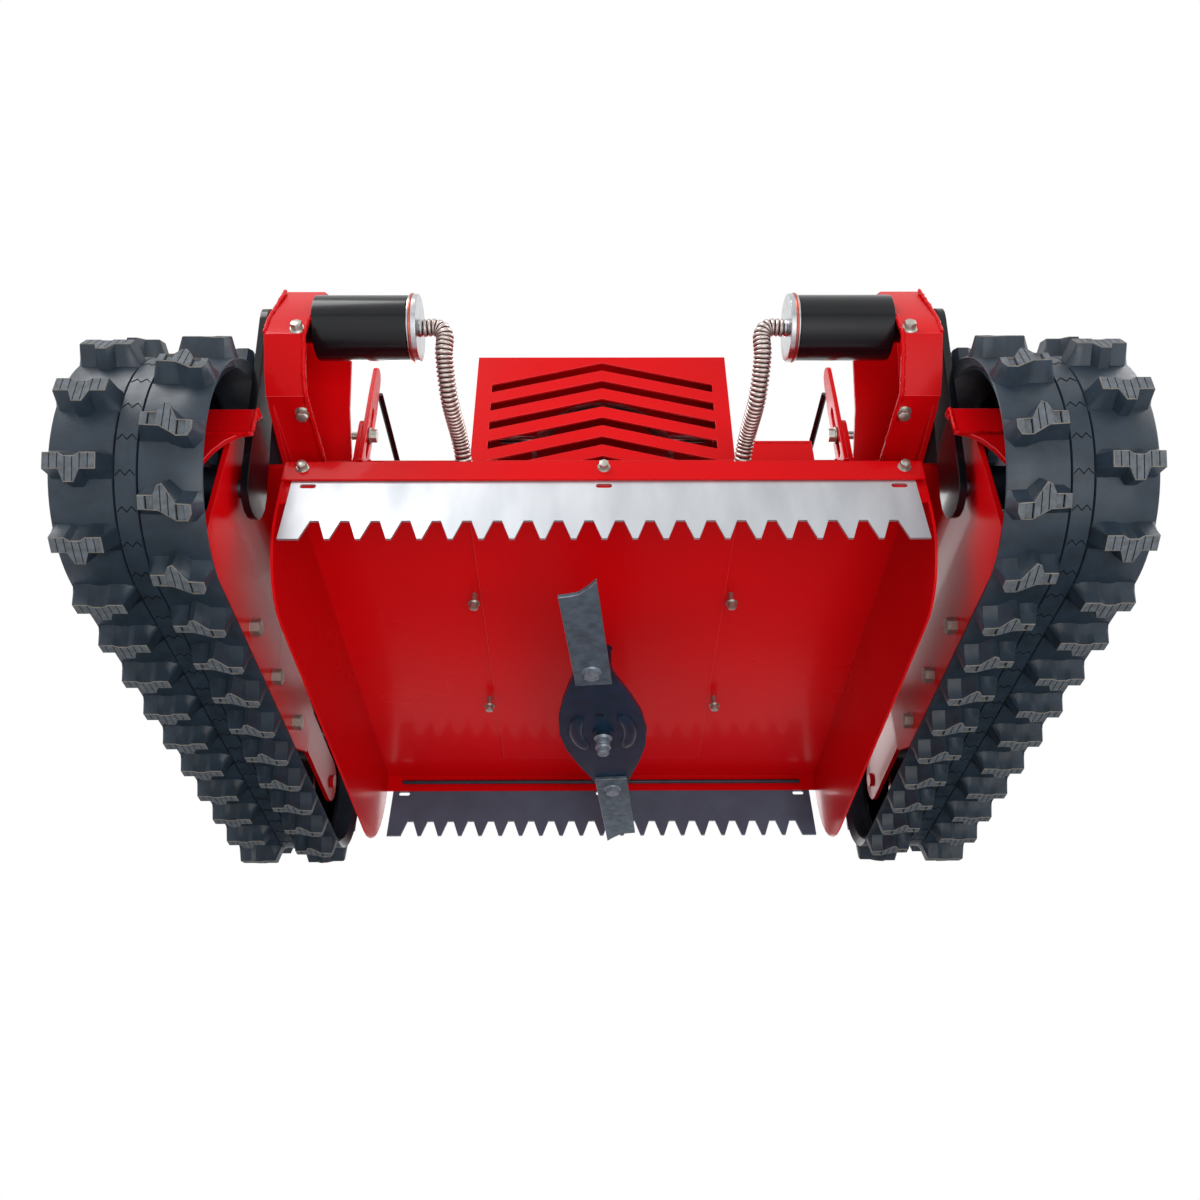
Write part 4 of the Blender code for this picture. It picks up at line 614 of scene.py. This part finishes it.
def lay_bead(name, radius, points):
    """A weld bead along a run of points, half sunk in the corner that it fills."""
    shaker = random.Random(name)
    places = []
    for a, b in zip(points, points[1:]):
        a, b = Vector(a), Vector(b)
        count = max(2, round((b - a).length / BEAD_STEP))
        places += [a.lerp(b, i / count) for i in range(count)]
    places.append(Vector(points[-1]))
    swells = []
    for i, place in enumerate(places):
        wander = [shaker.uniform(-1, 1) * radius * BEAD_WANDER for _ in range(3)]
        places[i] = [a + b for a, b in zip(place, wander)]
        swells.append((1.15 if i % 2 else 0.8) + shaker.uniform(-0.12, 0.12))
    bead = sweep(name, places, swells, radius, rings=2)
    bpy.ops.object.shade_smooth()
    settle(bead, enamel, "chassis")


for name, side in SIDES:
    for run, (radius, *points) in WELD_RUNS.items():
        lay_bead(f"weld_{run}_{name}", radius, [(side * x, y, z) for x, y, z in points])

# Flanged hex bolts: cold-headed steel, rolled thread, zinc plated. They clamp the comb
# guards, the engine, the side plates and the hangers.
M4, M8, M12 = 0.004, 0.008, 0.012
# Sizes of a flanged bolt as shares of its thread
HEAD_RADIUS, HEAD_TALL, HEAD_MIDDLE, HEAD_CHAMFER = 0.87, 0.95, 0.62, 0.14
FLANGE_RADIUS, FLANGE_TALL, FLANGE_TAPER, NUT_TALL = 1.12, 0.26, 0.86, 0.8
# The two of each tower, on the right side: where the flange rests, and the way the head faces
TOWER_BOLTS = (((0.3382, -0.4079, 0.3084), (0, -0.99, 0.14)),
               ((0.3382, -0.3370, 0.2500), (0, 0, -1)))
TOWER_SHANK = 0.014
TOWER_PLATE = 0.0045


def model_bolt(name, place, direction, size, body, shank=0.0, nut=0.0, finish=zinc):
    """A flanged hex bolt whose flange rests at a place, with its head along a direction."""
    across, flange = size * HEAD_RADIUS, size * FLANGE_RADIUS
    bpy.ops.mesh.primitive_cylinder_add(vertices=6, radius=across, depth=size * HEAD_TALL,
                                        location=(0, 0, size * HEAD_MIDDLE))
    parts = [bpy.context.object]
    round_edges(parts[0], size * HEAD_CHAMFER, angle=50)
    bpy.ops.mesh.primitive_cone_add(vertices=28, radius1=flange, radius2=flange * FLANGE_TAPER,
                                    depth=size * FLANGE_TALL,
                                    location=(0, 0, size * FLANGE_TALL / 2))
    parts.append(bpy.context.object)
    if shank:
        bpy.ops.mesh.primitive_cylinder_add(vertices=16, radius=size / 2, depth=shank,
                                            location=(0, 0, -shank / 2))
        parts.append(bpy.context.object)
    if nut:
        bpy.ops.mesh.primitive_cylinder_add(vertices=6, radius=across, depth=size * NUT_TALL,
                                            location=(0, 0, -nut - size * NUT_TALL / 2))
        parts.append(bpy.context.object)
    bolt = join_all(parts, name)
    swing = Vector((0, 0, 1)).rotation_difference(Vector(direction)).to_matrix().to_4x4()
    bolt.data.transform(Matrix.Translation(Vector(place)) @ swing @ bolt.matrix_world)
    bolt.matrix_world = Matrix.Identity(4)
    smooth(32)
    settle(bolt, finish, body)


for name, side in SIDES:
    for number, ((x, y, z), direction) in enumerate(TOWER_BOLTS, start=1):
        model_bolt(f"tower_bolt_{name}_{number}", (side * x, y, z), direction, M8, "chassis",
                   shank=TOWER_SHANK, nut=TOWER_PLATE)
    dress("hanger_bolt_" + name, zinc, 0.0005)

# Travel motors: drawn tube housings in gloss black, each closed by a turned steel end ring
# with a short gland, and driving a chain inside a thin black case beside the belt.
MOTOR_Y, MOTOR_Z = -0.373, 0.351
SEAL_RING_X, SEAL_RING_RADIUS, SEAL_RING_ROUND = 0.2180, 0.0372, 0.0022
# Turned steel: bright, with fine rings left by the tool
turned_steel = start_material("turned bright steel", "#C9CCCF", 0.22, 1.0)
mottle(turned_steel, "#D5D7DA", "#A5A8AC", 0.010, (0.16, 0.3), (0.0012, 0.18, 0.0001))
# Sealing ring pressed between the tube and its end: reddish, a painted reflection of the red enamel,
# with a dull bloom
red_reflection_tint = start_material("ring with painted red reflection", "#B4584A", 0.32, 1.0)
mottle(red_reflection_tint, "#CC6E5E", "#7E362C", 0.012, (0.26, 0.45), (0.0010, 0.2, 0.0001))
for name, side in SIDES:
    dress("motor_" + name, black_enamel, 0.0012, 30)
    dress("motor_cap_" + name, turned_steel, 0.0016, 30)
    bpy.ops.mesh.primitive_torus_add(major_segments=64, minor_segments=10,
                                     major_radius=SEAL_RING_RADIUS, minor_radius=SEAL_RING_ROUND,
                                     location=(side * SEAL_RING_X, MOTOR_Y, MOTOR_Z),
                                     rotation=(0, pi / 2, 0))
    seal_ring = bpy.context.object
    bpy.ops.object.transform_apply()
    bpy.ops.object.shade_smooth()
    seal_ring.name = "motor_seal_ring_" + name
    # The ring's reddish colour is a painted reflection of the red enamel.
    settle(seal_ring, red_reflection_tint, "chassis")
    # The black case also fills the inside of the belt's loop as a dark sheet of painted shade.
    dress("chain_case_" + name, black_enamel, 0.0006, 30)
    dress("stay_" + name, black_enamel, 0.0004, 45)

# Cable conduits: strip steel wound into a flexible ribbed sleeve, from each motor's gland
# round and down to the front beam. The ribs are round-backed and about 5 mm apart.
CONDUIT_START_X, CONDUIT_END_X = 0.2074, 0.168
CONDUIT_OUT, CONDUIT_IN = 0.0105, 0.0076
CONDUIT_STRAIGHT = 0.017      # how far each end runs before it bends
RIB_PITCH = 0.0050
RIB_STEPS = 8
GAP_SHADE_REACH = 0.0011          # how far up out of a gap its painted shade reaches
BEAM_FACE_Y, BEAM_MIDDLE_Z = -0.2273, 0.267
ROUTE_STEPS = 30


def conduit_route(side):
    """The conduit's middle line: straight at both ends, a smooth curve between."""
    bend = CONDUIT_START_X - CONDUIT_STRAIGHT
    end = Vector((CONDUIT_END_X, BEAM_FACE_Y, BEAM_MIDDLE_Z))
    route = [Vector(p) for p in (
        (CONDUIT_START_X, MOTOR_Y, MOTOR_Z), (bend, MOTOR_Y, MOTOR_Z),
        (bend - 0.008, MOTOR_Y + 0.003, MOTOR_Z - 0.010),
        (bend - 0.008, MOTOR_Y + 0.014, MOTOR_Z - 0.034),
        (CONDUIT_END_X + 0.010, MOTOR_Y + 0.048, MOTOR_Z - 0.064),
        (CONDUIT_END_X + 0.004, end.y - CONDUIT_STRAIGHT - 0.026, end.z + 0.014),
        (end.x, end.y - CONDUIT_STRAIGHT, end.z), tuple(end))]
    ends = [route[0] * 2 - route[1]] + route + [route[-1] * 2 - route[-2]]
    fine = []
    for a, b, c, d in zip(ends, ends[1:], ends[2:], ends[3:]):
        for i in range(ROUTE_STEPS):
            t = i / ROUTE_STEPS
            fine.append((2 * b + (c - a) * t + (2 * a - 5 * b + 4 * c - d) * t * t
                         + (3 * b - a - 3 * c + d) * t ** 3) / 2)
    fine.append(route[-1])
    lengths = [0.0]
    for a, b in zip(fine, fine[1:]):
        lengths.append(lengths[-1] + (b - a).length)
    count = round(lengths[-1] / RIB_PITCH) * RIB_STEPS
    spaced, place = [], 0
    for i in range(count + 1):
        want = lengths[-1] * i / count
        while place < len(lengths) - 2 and lengths[place + 1] < want:
            place += 1
        part = (want - lengths[place]) / max(lengths[place + 1] - lengths[place], 1e-9)
        spaced.append(fine[place].lerp(fine[place + 1], part))
    return [Vector((side * p.x, p.y, p.z)) for p in spaced]


# Wound strip: brighter than turned steel, with a warm pink tint that is a painted reflection of the
# red enamel, and brown down in its gaps as painted shade
wound_steel = start_material("wound steel strip", "#CFC3BE", 0.3, 0.9)
mottle(wound_steel, "#E2D8D2", "#96807A", 0.006, (0.24, 0.42), (0.0012, 0.15, 0.0001))
gap_shade = start_material("painted shade between the ribs", "#2A1A1A", 0.8)
mottle(gap_shade, "#33201F", "#120B0B", 0.004, (0.7, 0.9))
for name, side in SIDES:
    points = conduit_route(side)
    middle_line = KDTree(len(points))
    radii = []
    for i, point in enumerate(points):
        middle_line.insert(point, i)
        swell = abs(sin(pi * i / RIB_STEPS)) ** 0.6
        radii.append(CONDUIT_IN + (CONDUIT_OUT - CONDUIT_IN) * swell)
    middle_line.balance()
    sleeve = sweep(f"conduit_{name}_ribbed", points, radii, gap=0.00001)
    smooth(60)
    settle(sleeve, wound_steel, "chassis", "conduit_" + name)
    sleeve.data.materials.append(gap_shade)
    # Faces down between the ribs take the painted shade.
    for face in sleeve.data.polygons:
        if middle_line.find(face.center)[2] < CONDUIT_IN + GAP_SHADE_REACH:
            face.material_index = 1

# The deck: a folded steel shell with rounded skirts, and a doubler sheet under its middle,
# enamelled like the chassis. A strip at each end clamps a toothed comb guard.
STRIP_BOLTS_X = (-0.337, 0.0, 0.337)
STRIP_BOLTS_Z = 0.196
# Each strip's inner and outer face, the way that it looks, and its bolts' thread
STRIPS = {"front_strip": (-0.3028, -0.3058, -1, M8 * 0.85),
          "rear_strip": (0.4618, 0.4648, 1, M8 * 0.6)}


def ready(piece, name, material, body, angle=35, replaced=None):
    """Names a modelled piece, smooths it, and gives it its material and body."""
    take(piece)
    bpy.ops.object.transform_apply()
    smooth(angle)
    flatten_shading(piece)
    piece.name = name
    settle(piece, material, body, replaced)


def eased_box(low, high, ease, segments=2):
    """A box between two corners with its edges rounded."""
    low, high = Vector(low), Vector(high)
    bpy.ops.mesh.primitive_cube_add(size=1, location=(low + high) / 2)
    block = bpy.context.object
    block.scale = high - low
    bpy.ops.object.transform_apply()
    round_edges(block, ease, segments)
    return block


dress("deck_shell", enamel, 0.0009)
# The doubler's eased edges take the lighter red as a painted highlight.
dress("deck_doubler", enamel, 0.0014, rim=edge_highlight_enamel)
for node, (inner, outer, outward, thread) in STRIPS.items():
    low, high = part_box(node)
    near, far = sorted((inner, outer))
    strip = eased_box((low.x, near, low.z), (high.x, far, high.z), 0.0007)
    ready(strip, node + "_flat", enamel, "deck", replaced=node)
    for number, x in enumerate(STRIP_BOLTS_X, start=1):
        model_bolt(f"{node}_bolt_{number}", (x, outer, STRIP_BOLTS_Z), (0, outward, 0), thread,
                   "deck")

# Comb guards: laser-cut plate. The front one is bright, scratched up and down by stones;
# the rear one is the same plate, still dark with oil.
# Ground bright plate: broad cloudy bands of lighter and darker grey, a painted reflection, crossed
# by a few fine scratches
reflection_banded_plate = start_material("bright plate with painted reflection bands", "#C6C9CD", 0.42, 0.9)
mottle(reflection_banded_plate, "#DADDE1", "#8F949A", 0.050, (0.34, 0.52), (0.0005, 0.10, 0.0001),
       stretch=(1, 1, 0.35), detail=8.0)
# Plate with its mill oil on: slate blue, half dull
dark_plate = start_material("oiled dark plate", "#50677A", 0.45, 0.3)
mottle(dark_plate, "#5E788D", "#3A4C5A", 0.070, (0.38, 0.55), (0.002, 0.2, 0.0002))
# Eased edges of plate: a thin bright line along them
bright_edge_line = start_material("bright edge line", "#B9C2C9", 0.3, 0.9)
mottle(bright_edge_line, "#C8D0D6", "#8B949B", 0.008, (0.24, 0.42), (0.0008, 0.2, 0.0001))
dress("comb_front", reflection_banded_plate, 0.0004)
dress("comb_rear", dark_plate, 0.0004, rim=bright_edge_line)

# Rubber seal: a round black cord pressed along the foot of the rear wall. It is cut to length
# and its ends are rounded.
SEAL_RADIUS, SEAL_LENGTH = 0.0032, 0.664
SEAL_Y, SEAL_Z = 0.4512, 0.1885
bpy.ops.mesh.primitive_cylinder_add(vertices=16, radius=SEAL_RADIUS, depth=SEAL_LENGTH,
                                    location=(0, SEAL_Y, SEAL_Z), rotation=(0, pi / 2, 0))
seal = bpy.context.object
bpy.ops.object.transform_apply()
seal.name = "rear_wall_seal"
round_edges(seal, SEAL_RADIUS * 0.75, 3, 60)
smooth(40)
settle(seal, rubber, "deck")

# Four engine bolts come down through the deck, with their nuts underneath. They are plated
# like the others, and their shanks reach up into the crankcase's feet.
ENGINE_BOLTS = ((-0.167, -0.059), (0.167, -0.059), (-0.167, 0.200), (0.167, 0.200))
ENGINE_BOLTS_Z = 0.1865
ENGINE_BOLT_SHANK = 0.0154
for number, (x, y) in enumerate(ENGINE_BOLTS, start=1):
    model_bolt(f"engine_bolt_{number}", (x, y, ENGINE_BOLTS_Z), (0, 0, -1), M8 * 0.9, "deck",
               shank=ENGINE_BOLT_SHANK)

# Cutting gear: a pressed steel carrier, painted blue-black, with two swing blades of forged
# spring steel hung under its ends on flanged bolts. The rim of the carrier has a thin bright line.
BLADE_Y = 0.067
BLADE_TURN = radians(5.3)
BLADE_PIVOT = 0.157
CARRIER_LOW = 0.0675
# A pressed rib bows in from its middle towards its ends, and is half as tall as it is round
RIB_OUT, RIB_BOW, RIB_STEP, RIB_REACH = 0.036, 0.010, 0.007, 6
RIB_RADIUS, RIB_FLATNESS = 0.0090, 0.5
RIB_ENDS = (0.55, 0.85, 1.0)
BLADE_FLANGE_RADII, BLADE_FLANGE_TALL = (0.0105, 0.0121), 0.0018
LOCK_NUT_Z, CENTRE_BOLT_Z = 0.0576, 0.0440


def on_carrier(across, along):
    """World (x, y) of a point given across and along the carrier."""
    return (across * cos(BLADE_TURN) + along * sin(BLADE_TURN),
            BLADE_Y - across * sin(BLADE_TURN) + along * cos(BLADE_TURN))


# Forged steel left from the hammer: mottled blue-grey scale with small pits
forged = start_material("forged spring steel", "#4E606E", 0.5, 0.4)
mottle(forged, "#6C8190", "#27323B", 0.011, (0.42, 0.62), (0.0034, 0.8, 0.0007), detail=10.0)
# Press paint: thin, blue-black, and a little glossy over the pressed steel
carrier_paint = start_material("blue-black press paint", "#13273A", 0.34,
                               Specular_IOR_Level=0.35)
mottle(carrier_paint, "#1A3349", "#0C1A28", 0.02, (0.28, 0.42), (PEEL_SIZE, 0.15, 0.0002))
# Bolts in the mown grass: plated once, now dull blue-grey like the blades they hold
dull_bolt = start_material("dull plated bolt", "#8593A0", 0.4, 0.5)
mottle(dull_bolt, "#A3B0BB", "#56636F", 0.005, (0.32, 0.52), (0.0008, 0.3, 0.0002))

dress("blade_carrier", carrier_paint, 0.0010, 30, rim=bright_edge_line)
for name, side in SIDES:
    places = [(*on_carrier(side * (RIB_OUT - RIB_BOW * (t / RIB_REACH) ** 2), -RIB_STEP * t),
               CARRIER_LOW) for t in range(-RIB_REACH, RIB_REACH + 1)]
    swells = [RIB_ENDS[min(i, len(places) - 1 - i, 2)] for i in range(len(places))]
    rib = sweep("carrier_rib_" + name, places, swells, RIB_RADIUS)
    for v in rib.data.vertices:
        v.co.z = CARRIER_LOW + (v.co.z - CARRIER_LOW) * RIB_FLATNESS
    smooth(50)
    settle(rib, carrier_paint, "spindle")

for label, way in (("near", -1), ("far", 1)):
    dress("blade_" + label, forged, 0.0006, rim=bright_edge_line)
    dress("blade_bolt_" + label, dull_bolt, 0.0008)
    x, y = on_carrier(0, way * BLADE_PIVOT)
    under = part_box("blade_" + label)[0].z - BLADE_FLANGE_TALL / 2
    bpy.ops.mesh.primitive_cone_add(vertices=40, radius1=BLADE_FLANGE_RADII[0],
                                    radius2=BLADE_FLANGE_RADII[1], depth=BLADE_FLANGE_TALL,
                                    location=(x, y, under))
    flange = bpy.context.object
    bpy.ops.object.transform_apply()
    smooth(35)
    flange.name = "blade_bolt_flange_" + label
    settle(flange, dull_bolt, body_holding("blade_bolt_" + label))
x, y = on_carrier(0, 0)
model_bolt("carrier_lock_nut", (x, y, LOCK_NUT_Z), (0, 0, -1), M12 * 0.9, "spindle",
           shank=0.004, finish=dull_bolt)
model_bolt("carrier_centre_bolt", (x, y, CENTRE_BOLT_Z), (0, 0, -1), M12 * 0.78, "spindle",
           shank=0.016, finish=dull_bolt)

# The engine guard: folded sheet with seven chevron slots in its face, open behind and below,
# spot-welded along its folds and enamelled inside and out.
# Its eased edges take the lighter red as a painted highlight.
dress("engine_guard", enamel, 0.0008, rim=edge_highlight_enamel)

# The engine: a sand-cast aluminium crankcase with a finned cylinder towards the guard's face,
# and a round pressed blower housing on top, under a starter cover with radial air slots.
ENGINE_MIDDLE = (0.0, 0.067)
CYLINDER_FRONT, CYLINDER_REAR = -0.157, -0.046
FIN_PITCH, FIN_THICK = 0.0072, 0.0022
FIN_HALF_WIDTH, FIN_LOW, FIN_HIGH = 0.064, 0.2660, 0.3420
# Sand-cast aluminium, coloured dark grey as painted shade under the guard: dull and even, with the
# grain of the mould in darker patches
shade_darkened_casting = start_material("sand-cast aluminium darkened as painted shade", "#4A4C50", 0.55, 0.6)
mottle(shade_darkened_casting, "#54565A", "#323438", 0.012, (0.45, 0.65), (0.0011, 0.55, 0.0004))
# Steel browned by exhaust heat: straw and blue over a dull ground
heated = start_material("heat-browned steel", "#6B5A48", 0.45, 0.9)
mottle(heated, "#8A7052", "#3C4048", 0.030, (0.34, 0.58), (0.0016, 0.3, 0.0003))
# Moulded polyethylene and nylon: black, waxy, with a fine spark-eroded grain
moulded = start_material("moulded black plastic", "#15161A", 0.46)
mottle(moulded, "#191B1F", "#0E0F12", 0.040, (0.40, 0.55), (0.0007, 0.45, 0.0002))

# The crankcase, cowl and fins are coloured dark as painted shade under the guard.
dress("engine_block", shade_darkened_casting, 0.0022)
dress("engine_cowl", shade_darkened_casting, 0.0014, 30)
fins = []
for number in range(int((CYLINDER_REAR - CYLINDER_FRONT) / FIN_PITCH) + 1):
    y = CYLINDER_FRONT + number * FIN_PITCH
    fins.append(eased_box((-FIN_HALF_WIDTH, y, FIN_LOW), (FIN_HALF_WIDTH, y + FIN_THICK, FIN_HIGH),
                          0.0006, 1))
ready(join_all(fins, "fins"), "cylinder_fins", shade_darkened_casting, "deck")

# Blower ring: the bright rolled hoop round the fan, with a lug on each side; its top shows
# through the guard's lowest slots.
HOOP_RADIUS, HOOP_Z, HOOP_FRONT, HOOP_REAR = 0.092, 0.350, -0.1690, -0.1480
HOOP_WALL = 0.006
HOOP_LUG_REACH, HOOP_LUG_LOW, HOOP_LUG_HIGH = 0.136, 0.3720, 0.3800
bpy.ops.mesh.primitive_cylinder_add(vertices=64, radius=HOOP_RADIUS, depth=HOOP_REAR - HOOP_FRONT,
                                    end_fill_type="NOTHING", rotation=(pi / 2, 0, 0),
                                    location=(0, (HOOP_FRONT + HOOP_REAR) / 2, HOOP_Z))
hoop = [bpy.context.object]
thicken(hoop[0], HOOP_WALL)
for name, side in SIDES:
    inner, outer = sorted((side * (HOOP_RADIUS - 0.004), side * HOOP_LUG_REACH))
    hoop.append(eased_box((inner, HOOP_FRONT, HOOP_LUG_LOW),
                          (outer, HOOP_FRONT + HOOP_WALL, HOOP_LUG_HIGH), 0.0012))
ready(join_all(hoop, "hoop"), "blower_ring", turned_steel, "deck", 40)

# Starter cover: a moulded disc in a round rim, with thin vanes from its hub like spokes. Air
# for the fan is drawn in between them.
COVER_RADIUS, COVER_TOP = 0.062, 0.486
COVER_DISC_TALL, COVER_DISC_Z = 0.008, 0.474
COVER_RIM_ROUND, COVER_RIM_Z = 0.0052, COVER_TOP - 0.008
HUB_RADIUS, HUB_Z, HUB_FLATNESS = 0.020, COVER_TOP - 0.011, 0.5
COVER_VANES = 22
VANE_LOW, VANE_HIGH = (0.014, -0.0013, -0.004), (COVER_RADIUS, 0.0013, 0.003)
bpy.ops.mesh.primitive_cylinder_add(vertices=48, radius=COVER_RADIUS * 0.9, depth=COVER_DISC_TALL,
                                    location=(*ENGINE_MIDDLE, COVER_DISC_Z))
cover = [bpy.context.object]
bpy.ops.mesh.primitive_torus_add(major_segments=48, minor_segments=10, major_radius=COVER_RADIUS,
                                 minor_radius=COVER_RIM_ROUND,
                                 location=(*ENGINE_MIDDLE, COVER_RIM_Z))
cover.append(bpy.context.object)
bpy.ops.mesh.primitive_uv_sphere_add(segments=32, ring_count=12, radius=HUB_RADIUS,
                                     location=(*ENGINE_MIDDLE, HUB_Z))
cover.append(bpy.context.object)
cover[-1].scale = (1, 1, HUB_FLATNESS)
for number in range(COVER_VANES):
    vane = eased_box(VANE_LOW, VANE_HIGH, 0.0005, 1)
    vane.data.transform(Matrix.Translation((*ENGINE_MIDDLE, COVER_RIM_Z))
                        @ Matrix.Rotation(2 * pi * number / COVER_VANES, 4, "Z"))
    cover.append(vane)
ready(join_all(cover, "cover"), "starter_cover", moulded, "deck", 40)

# Muffler and air cleaner: one on each side of the crankcase, under the blower housing. The
# muffler is a pressed can with raised louvres, the cleaner a clipped plastic box.
CAN_INNER, CAN_OUTER = 0.112, 0.160
CAN_FRONT, CAN_REAR, CAN_LOW, CAN_HIGH = -0.092, 0.058, 0.2685, 0.3380
LOUVRES, LOUVRE_START, LOUVRE_PITCH, LOUVRE_WIDTH = 6, 0.022, 0.021, 0.008
LOUVRE_LOW, LOUVRE_HIGH = 0.285, 0.322
CLIPS_Y, CLIP_WIDTH, CLIP_LOW, CLIP_HIGH = (-0.060, 0.026), 0.012, 0.292, 0.336
muffler = [eased_box((CAN_INNER, CAN_FRONT, CAN_LOW), (CAN_OUTER, CAN_REAR, CAN_HIGH), 0.009, 4)]
for number in range(LOUVRES):
    y = CAN_FRONT + LOUVRE_START + number * LOUVRE_PITCH
    muffler.append(eased_box((CAN_OUTER - 0.003, y, LOUVRE_LOW),
                             (CAN_OUTER + 0.0018, y + LOUVRE_WIDTH, LOUVRE_HIGH), 0.0022, 3))
ready(join_all(muffler, "muffler"), "exhaust_muffler", heated, "deck", 40)
cleaner = [eased_box((-CAN_OUTER, CAN_FRONT, CAN_LOW), (-CAN_INNER, CAN_REAR, CAN_HIGH), 0.006, 3)]
for y in CLIPS_Y:
    cleaner.append(eased_box((-CAN_OUTER - 0.0025, y, CLIP_LOW),
                             (-CAN_OUTER + 0.002, y + CLIP_WIDTH, CLIP_HIGH), 0.0012))
ready(join_all(cleaner, "cleaner"), "air_cleaner", moulded, "deck", 40)

# Fuel tank: blow-moulded, with soft corners and a parting line right round it. Its cap is
# moulded with grip ribs, and the starter's pull grip waits on a clip at the tank's back.
SEAM_HALF, SEAM_INSET = 0.0008, 0.0002
CAP_PLACE, CAP_OUTER, CAP_TALL, CAP_RIBS = (0.045, 0.2035, 0.4403), 0.0156, 0.0160, 26
CAP_GROOVE = 0.93             # share of the radius left between two ribs
GRIP_SWELL = (0.55, 0.84, 0.96, 1.0, 0.93, 0.88, 0.86, 0.88, 0.93, 1.0, 0.96, 0.84, 0.55)
low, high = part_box("fuel_tank")
seam_y = (low.y + high.y) / 2
tank = [eased_box(low, high, 0.010, 4),
        eased_box((low.x + SEAM_INSET, seam_y - SEAM_HALF, low.z + SEAM_INSET),
                  (high.x - SEAM_INSET, seam_y + SEAM_HALF, high.z - SEAM_INSET), 0.0003, 1)]
ready(join_all(tank, "tank"), "fuel_tank_moulded", moulded, "deck",
      replaced="fuel_tank")

bpy.ops.mesh.primitive_cylinder_add(vertices=CAP_RIBS * 2, radius=CAP_OUTER, depth=CAP_TALL,
                                    location=(0, 0, CAP_TALL / 2))
cap = bpy.context.object
for v in cap.data.vertices:
    turned_by = atan2(v.co.y, v.co.x) / (2 * pi) * CAP_RIBS
    if abs(turned_by - round(turned_by)) > 0.25:
        v.co.x *= CAP_GROOVE
        v.co.y *= CAP_GROOVE
round_edges(cap, 0.0008, angle=60)
cap.location = CAP_PLACE
ready(cap, "fuel_cap_ribbed", moulded, "cap", 25, "fuel_cap")

low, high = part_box("starter_grip")
places = [(low.x + (high.x - low.x) * i / (len(GRIP_SWELL) - 1), (low.y + high.y) / 2,
           (low.z + high.z) / 2) for i in range(len(GRIP_SWELL))]
grip = sweep("starter_grip_moulded", places, GRIP_SWELL, (high.z - low.z) / 2)
ready(grip, "starter_grip_moulded", moulded, "grip", 50, "starter_grip")

# Deck lift: an electric actuator in a black tube behind the rear beam, bolted upright, with
# its ground and polished rod standing on the deck.
dress("lift_actuator", black_enamel, 0.0012, 30)
dress("lift_rod", turned_steel, 0.0008, 30)

# Console and receiver: folded and enamelled boxes on the beams, closed with small pan-head
# screws. The console carries the red stop button and the key switch at the back.
SCREW_INSET = 0.009
# Glossy injection-moulded red: even colour under a soft, slightly rippled shine
red_cap = start_material("moulded red plastic", "#C01010", 0.28, Coat_Weight=0.25,
                         Coat_Roughness=0.2)
mottle(red_cap, "#C81414", "#A80C0C", 0.015, (0.24, 0.36), (0.0020, 0.12, 0.0002))
dress("battery_console", enamel, 0.0014)
dress("stop_button", red_cap, 0.0003, 30)
dress("key_switch", turned_steel, 0.0006, 30)
for node in ("receiver_lid", "battery_console"):
    low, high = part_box(node)
    for i, x in enumerate((low.x + SCREW_INSET, high.x - SCREW_INSET)):
        for j, y in enumerate((low.y + SCREW_INSET, high.y - SCREW_INSET)):
            model_bolt(f"{node}_screw_{i}{j}", (x, y, high.z), (0, 0, 1), M4, "chassis")
